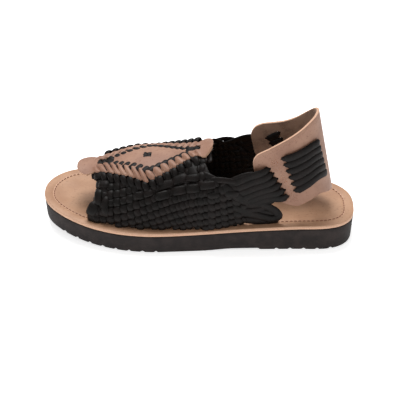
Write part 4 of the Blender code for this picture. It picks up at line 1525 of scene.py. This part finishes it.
def window_patches():
    """Small strips that lie along and across by turns in each window."""
    patches = []
    for start, end, half in WINDOWS:
        rows = 2 if end - start < SHORT_WINDOW else 3
        for i in range(rows):
            for j in range(PATCHES_ACROSS):
                s = start + (end - start) * (i + 0.5) / rows
                girth = half * (2 * (j + 0.5) / PATCHES_ACROSS - 1)
                turn = 0 if (i + j) % 2 else 90
                patches.append(ShortStrip(
                    s, girth, turn, PATCH_HALF_LENGTH, PATCH_HALF_WIDTH, LACING_TOP - PATCH_SINK
                ))
    return patches


def lacing_piece(patch):
    points, normals = dipping_route(RIDGE, patch, LACING_DIPS, LACING_DEPTH, LACING_POINTS)
    end = patch.half_width * LACING_END * MM
    return rolled_strip(points, normals, patch.half_width * MM, LACING_LEATHER * MM, end)


short_lacing = [lacing_piece(patch) for patch in braid_stitches() + window_patches()]
print("short stitches of lacing", len(short_lacing))

# %% [markdown]
# Two more kinds of lacing go over the strip's edge: narrow laces in the valleys between two lobes, and the
# wide strips that come out from under the lobes and go down into the weave. On the inner side those stand
# higher, as a braid that shows behind the diamond in the photograph.

# %% Lacing over the edge of the tan strip
INNER_BRAID_RISE = 2.4
VALLEY_START, VALLEY_PAST_EDGE, VALLEY_STEP = 0.8, 3.5, 1.0
VALLEY_SINK, VALLEY_FALL, VALLEY_FALL_LEAD = 0.35, 0.8, 0.5
VALLEY_WIDTHS = (0.6, 1.2)
VALLEY_LEATHER = 0.75
LOBE_WIDTH = 4
LOBE_LACE_POINTS = 20
LOBE_LACE_HALF, LOBE_LACE_LEATHER = 2.6, 1.2
LobeLaceRow = namedtuple("LobeLaceRow", "behind past_edge out raised")
LOBE_LACE_ROWS = (
    LobeLaceRow(-3.0, -4.0, 4.0, 0.0),
    LobeLaceRow(-1.6, -1.2, 4.6, 0.0),
    LobeLaceRow(-0.3, 1.4, 6.8, 0.6),
    LobeLaceRow(1.0, 4.4, 6.2, 1.0),
    LobeLaceRow(1.6, 8.0, 3.0, 0.5),
)
LOBE_COUNT = int((LOBED[1] - LOBED[0]) / LOBE_PITCH)


def valley_lace(side, valley):
    """A lace that lies in the valley between two lobes and goes over the strip's edge."""
    foot = LOBED[0] + valley * LOBE_PITCH
    edge, slits = between(STRIP_ROWS, "edge", foot), between(STRIP_ROWS, "slits", foot)
    table = []
    for girth in np.arange(slits + VALLEY_START, edge + VALLEY_PAST_EDGE, VALLEY_STEP):
        beyond = max(girth - edge + VALLEY_FALL_LEAD, 0.0)
        out = STRIP_OUT + STRIP_LEATHER - VALLEY_SINK - VALLEY_FALL * beyond
        table.append((foot + LOBE_SLANT * (girth - slits), side * girth, out))
    widths = np.linspace(*VALLEY_WIDTHS, len(table))
    return rolled_strip(*route_on_last(RIDGE, table), widths * MM, VALLEY_LEATHER * MM)


def lobe_lace(side, lobe):
    """A strip that comes out from under a lobe and goes down into the weave."""
    s = LOBED[0] + (lobe + 1.0) * LOBE_PITCH + LOBE_SLANT * LOBE_WIDTH
    edge = between(STRIP_ROWS, "edge", s)
    raised = INNER_BRAID_RISE if side > 0 else 0.0
    rows = [
        (s + row.behind, edge + row.past_edge, row.out + raised * row.raised) for row in LOBE_LACE_ROWS
    ]
    route = smooth_route(rows, LOBE_LACE_POINTS) * (1, side, 1)
    return rolled_strip(*route_on_last(RIDGE, route), LOBE_LACE_HALF * MM, LOBE_LACE_LEATHER * MM)


valley_laces = [valley_lace(side, valley) for side in (-1, 1) for valley in range(1, LOBE_COUNT)]
lobe_laces = [lobe_lace(side, lobe) for side in (-1, 1) for lobe in range(LOBE_COUNT)]
strip_lacing = join_as("strip_lacing", short_lacing + valley_laces + lobe_laces)
print("lacing has", len(strip_lacing.data.polygons), "faces")

# %% [markdown]
# Now the finishes. Every material is a Principled shader with a few pattern nodes: a colour with spots of
# other colours in it, fine relief, and for some a gloss that changes. One function builds them all from
# short lists. Patterns use object coordinates, so they keep their real size on every piece.

# %% Helpers for materials
NOISE, CELLS = "ShaderNodeTexNoise", "ShaderNodeTexVoronoi"
PATTERN_OUTPUTS = {NOISE: "Fac", CELLS: "Distance"}
Pattern = namedtuple("Pattern", "kind size_mm detail")
Spots = namedtuple("Spots", "pattern low high colour")
Relief = namedtuple("Relief", "pattern depth_mm")
Gloss = namedtuple("Gloss", "pattern smoothest roughest")


def linear(hex_colour):
    """An sRGB colour such as C99B7A as linear RGBA."""
    values = [int(hex_colour[i:i + 2], 16) / 255 for i in (0, 2, 4)]
    return [v / 12.92 if v <= 0.04045 else ((v + 0.055) / 1.055) ** 2.4 for v in values] + [1.0]


def new_material(name, roughness, specular, more=()):
    made = bpy.data.materials.new(name)
    made.use_nodes = True
    shader = made.node_tree.nodes["Principled BSDF"]
    for socket, value in {"Roughness": roughness, "Specular IOR Level": specular, **dict(more)}.items():
        shader.inputs[socket].default_value = value
    return made, made.node_tree, shader


def add_node(tree, kind, settings=(), inputs=(), links=()):
    """Adds a node, sets its properties and sockets, and links other nodes' sockets into it."""
    node = tree.nodes.new(kind)
    for name, value in dict(settings).items():
        setattr(node, name, value)
    for name, value in dict(inputs).items():
        node.inputs[name].default_value = value
    for name, socket in dict(links).items():
        tree.links.new(socket, node.inputs[name])
    return node


def pattern_value(tree, place, pattern):
    """A noise or a pattern of cells about size_mm across."""
    inputs = {"Scale": 1 / MM / pattern.size_mm}
    if pattern.detail is not None:
        inputs["Detail"] = pattern.detail
    node = add_node(tree, pattern.kind, {}, inputs, {"Vector": place})
    return node.outputs[PATTERN_OUTPUTS[pattern.kind]]


def map_range(tree, value, ends, low, high, interpolation):
    """Maps a value from low to high, or to low to high, as ends says."""
    node = add_node(
        tree, "ShaderNodeMapRange", {"interpolation_type": interpolation},
        {ends + " Min": low, ends + " Max": high}, {"Value": value},
    )
    return node.outputs["Result"]


def mix_colours(tree, factor, first, second):
    """Mixes two colours, each a hex string or a socket."""
    node = add_node(tree, "ShaderNodeMix", {"data_type": "RGBA"}, {}, {"Factor": factor})
    for name, colour in (("A", first), ("B", second)):
        socket = [socket for socket in node.inputs if socket.name == name and socket.type == "RGBA"][0]
        if isinstance(colour, str):
            socket.default_value = linear(colour)
        else:
            tree.links.new(colour, socket)
    return [socket for socket in node.outputs if socket.type == "RGBA"][0]


print("kinds of pattern:", len(PATTERN_OUTPUTS))

# %% [markdown]
# This function turns the short lists of a finish into its nodes: first the patterns, then the spots of
# colour, the gloss, and the relief as bumps that build on one another.

# %% One function for every finish
def finish(name, roughness, specular, colour, patterns, spots, reliefs=(), gloss=None, more=()):
    """A material of one colour with soft-edged spots of others, fine relief and a changing gloss."""
    made, tree, shader = new_material(name, roughness, specular, more)
    place = add_node(tree, "ShaderNodeTexCoord").outputs["Object"]
    values = {label: pattern_value(tree, place, pattern) for label, pattern in patterns.items()}
    for spot in spots:
        factor = map_range(tree, values[spot.pattern], "From", spot.low, spot.high, "SMOOTHSTEP")
        colour = mix_colours(tree, factor, colour, spot.colour)
    tree.links.new(colour, shader.inputs["Base Color"])
    if gloss:
        rough = map_range(tree, values[gloss.pattern], "To", gloss.smoothest, gloss.roughest, "LINEAR")
        tree.links.new(rough, shader.inputs["Roughness"])
    links = {}
    for relief in reliefs:
        links["Height"] = values[relief.pattern]
        inputs = {"Strength": 1.0, "Distance": relief.depth_mm * MM}
        node = add_node(tree, "ShaderNodeBump", {}, inputs, links)
        links["Normal"] = node.outputs["Normal"]
        tree.links.new(links["Normal"], shader.inputs["Normal"])
    return made


print("tan leather in linear light", [round(v, 3) for v in linear("A8806A")[:3]])

# %% [markdown]
# Natural vegetable-tanned cowhide is pale, warm and a little uneven: it darkens where hands and sun
# reach it, and its pores are fine dots. It is finished with wax only, so its gloss is soft. The strap and
# the strip are a shade darker than the footbed. Pores are drawn coarser than the real ones so that they show.

# %% Natural leather
def natural_leather(name, pale, deep, pore):
    return finish(
        name, roughness=0.50, specular=0.45, colour=pale,
        patterns={
            "clouds": Pattern(NOISE, 24.0, 3.0),
            "pores": Pattern(CELLS, 0.9, None),
            "fibres": Pattern(NOISE, 2.2, 4.0),
        },
        spots=[Spots("clouds", 0.32, 0.68, deep), Spots("fibres", 0.55, 0.80, pore)],
        reliefs=[Relief("pores", 0.05), Relief("fibres", 0.12)],
        gloss=Gloss("clouds", 0.42, 0.62),
    )


upper_leather = natural_leather("natural_cowhide_waxed", "A8806A", "946C58", "805640")
footbed_leather = natural_leather("natural_cowhide_footbed", "BF9474", "AF8466", "A07356")
print(upper_leather.name, footbed_leather.name)

# %% [markdown]
# A cut through natural leather shows its pale core, and the flesh side inside the strap is sueded:
# short grey-brown nap that scatters light at its edges, which the shader's sheen gives.

# %% Cut edge and flesh side
edge_leather = finish(
    "cut_leather_edge", roughness=0.62, specular=0.35, colour="D6AE93",
    patterns={"fibres": Pattern(NOISE, 0.8, 2.0)},
    spots=[Spots("fibres", 0.35, 0.7, "C79A7C")],
    reliefs=[Relief("fibres", 0.03)],
)
suede_leather = finish(
    "sueded_flesh_side", roughness=0.95, specular=0.2, colour="9C7F6D",
    patterns={"nap": Pattern(NOISE, 1.1, 5.0), "brushed": Pattern(NOISE, 9.0, 2.0)},
    spots=[Spots("brushed", 0.35, 0.7, "7E6556"), Spots("nap", 0.45, 0.75, "A0856F")],
    reliefs=[Relief("nap", 0.25)],
    more={"Sheen Weight": 0.25, "Sheen Roughness": 0.5},
)
print(edge_leather.name, suede_leather.name)

# %% [markdown]
# The strips are drum-dyed black leather. Their dye looks brown where the light rakes over it, and creases
# change the gloss a little. The grain is drawn coarser than the real 0.3 mm so that it shows.

# %% Black strips
strip_leather = finish(
    "dyed_black_leather", roughness=0.5, specular=0.17, colour="0C0806",
    patterns={
        "dye": Pattern(NOISE, 7.0, 3.0),
        "grain": Pattern(CELLS, 0.8, None),
        "creases": Pattern(NOISE, 2.6, 3.0),
    },
    spots=[Spots("dye", 0.35, 0.7, "160F0D")],
    reliefs=[Relief("grain", 0.05), Relief("creases", 0.22)],
    gloss=Gloss("creases", 0.40, 0.60),
)
print(strip_leather.name)

# %% [markdown]
# The sole is moulded rubber, nearly black with a brown cast, matt, with a faint cloudy bloom and small
# pits. The thread is waxed and red-brown.

# %% Rubber and thread
rubber = finish(
    "moulded_sole_rubber", roughness=0.72, specular=0.25, colour="211B1A",
    patterns={"bloom": Pattern(NOISE, 11.0, 5.0), "pits": Pattern(NOISE, 1.4, 2.0)},
    spots=[Spots("bloom", 0.35, 0.72, "2F2725")],
    reliefs=[Relief("pits", 0.18)],
)
thread = finish(
    "waxed_linen_thread", roughness=0.55, specular=0.4, colour="7A4C39",
    patterns={"twist": Pattern(NOISE, 0.6, None)},
    spots=[Spots("twist", 0.3, 0.7, "966349")],
)
print(rubber.name, thread.name)

# %% [markdown]
# Each piece now gets its finish and hangs from the root body, and the solid it stands for is hidden. Stitches
# and lacing have no solid of their own, so they replace nothing.

# %% Dress the pieces
STEEP = 0.93


def dress(piece, material, slot, *nodes):
    """Gives a piece its material and its body, and hides the solids that it stands for. The slot is not used.
    """
    if material is not None:
        piece.data.materials.clear()
        piece.data.materials.append(material)
    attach(piece, "root")
    if nodes:
        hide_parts(*nodes)


def dress_wall(piece, node):
    """A strap with three surfaces: grain outside, flesh inside and cut edge."""
    for index, material in enumerate((upper_leather, suede_leather, edge_leather)):
        piece.data.materials[index] = material
    dress(piece, None, "natural_leather", node)


dress(rubber_sole, rubber, "sole_rubber", "outsole")
dress(leather_footbed, footbed_leather, "natural_leather", "footbed")
leather_footbed.data.materials.append(edge_leather)
for face in leather_footbed.data.polygons:
    face.material_index = int(abs(face.normal.z) < STEEP)
dress(footbed_stitches, thread, "natural_leather")
for piece in (*weave_pieces, weave_folds, front_turns, weave_top_piece, collar_edge):
    dress(piece, strip_leather, "black_leather", "woven_vamp")
dress_wall(heel_strap, "heel_counter")
for number, piece in enumerate(heel_laces):
    dress(piece, strip_leather, "black_leather", f"counter_lace_{number + 1}")
dress_wall(tan_strip, "vamp_strip")
dress(strip_lacing, strip_leather, "black_leather")
print("pieces dressed")

# %% [markdown]
# A photographer would set the sandal on a lit white table under soft boxes. The world gives an even white
# fill, one large soft light hangs above and behind the sandal, and a weak one fills from the camera's side
# in front of the toe. The paper glows a little, as on a light table, so that it comes out white.

# %% Floor and light
FLOOR_SIZE = 6.0
PAPER_WHITE = (0.93, 0.93, 0.93, 1.0)
PURE_WHITE = (1.0, 1.0, 1.0, 1.0)
PAPER_GLOW = 0.65
WORLD_STRENGTH = 0.40
SoftLight = namedtuple("SoftLight", "name watts size place")
SOFT_LIGHTS = (
    SoftLight("overhead_softbox", 14.5, 0.7, (-0.12, 0.50, 1.15)),
    SoftLight("front_softbox", 1.8, 0.8, (-0.5, -1.2, 1.0)),
)


def make_floor():
    bpy.ops.mesh.primitive_plane_add(size=FLOOR_SIZE)
    floor = bpy.context.object
    floor.name = "paper_floor"
    glow = {"Base Color": PAPER_WHITE, "Emission Color": PURE_WHITE, "Emission Strength": PAPER_GLOW}
    floor.data.materials.append(new_material("white_paper", 0.9, 0.1, glow)[0])


def make_world():
    world = bpy.data.worlds.new("studio")
    world.use_nodes = True
    background = world.node_tree.nodes["Background"]
    background.inputs["Color"].default_value = PURE_WHITE
    background.inputs["Strength"].default_value = WORLD_STRENGTH
    bpy.context.scene.world = world


def make_soft_light(light):
    data = bpy.data.lights.new(light.name, "AREA")
    data.energy = light.watts
    data.size = light.size
    lamp = bpy.data.objects.new(light.name, data)
    lamp.location = light.place
    lamp.rotation_euler = (-Vector(light.place)).to_track_quat("-Z", "Y").to_euler()
    bpy.context.scene.collection.objects.link(lamp)


make_floor()
make_world()
for light in SOFT_LIGHTS:
    make_soft_light(light)
bpy.context.scene.view_settings.view_transform = "Standard"
print("soft lights", [light.name for light in SOFT_LIGHTS])
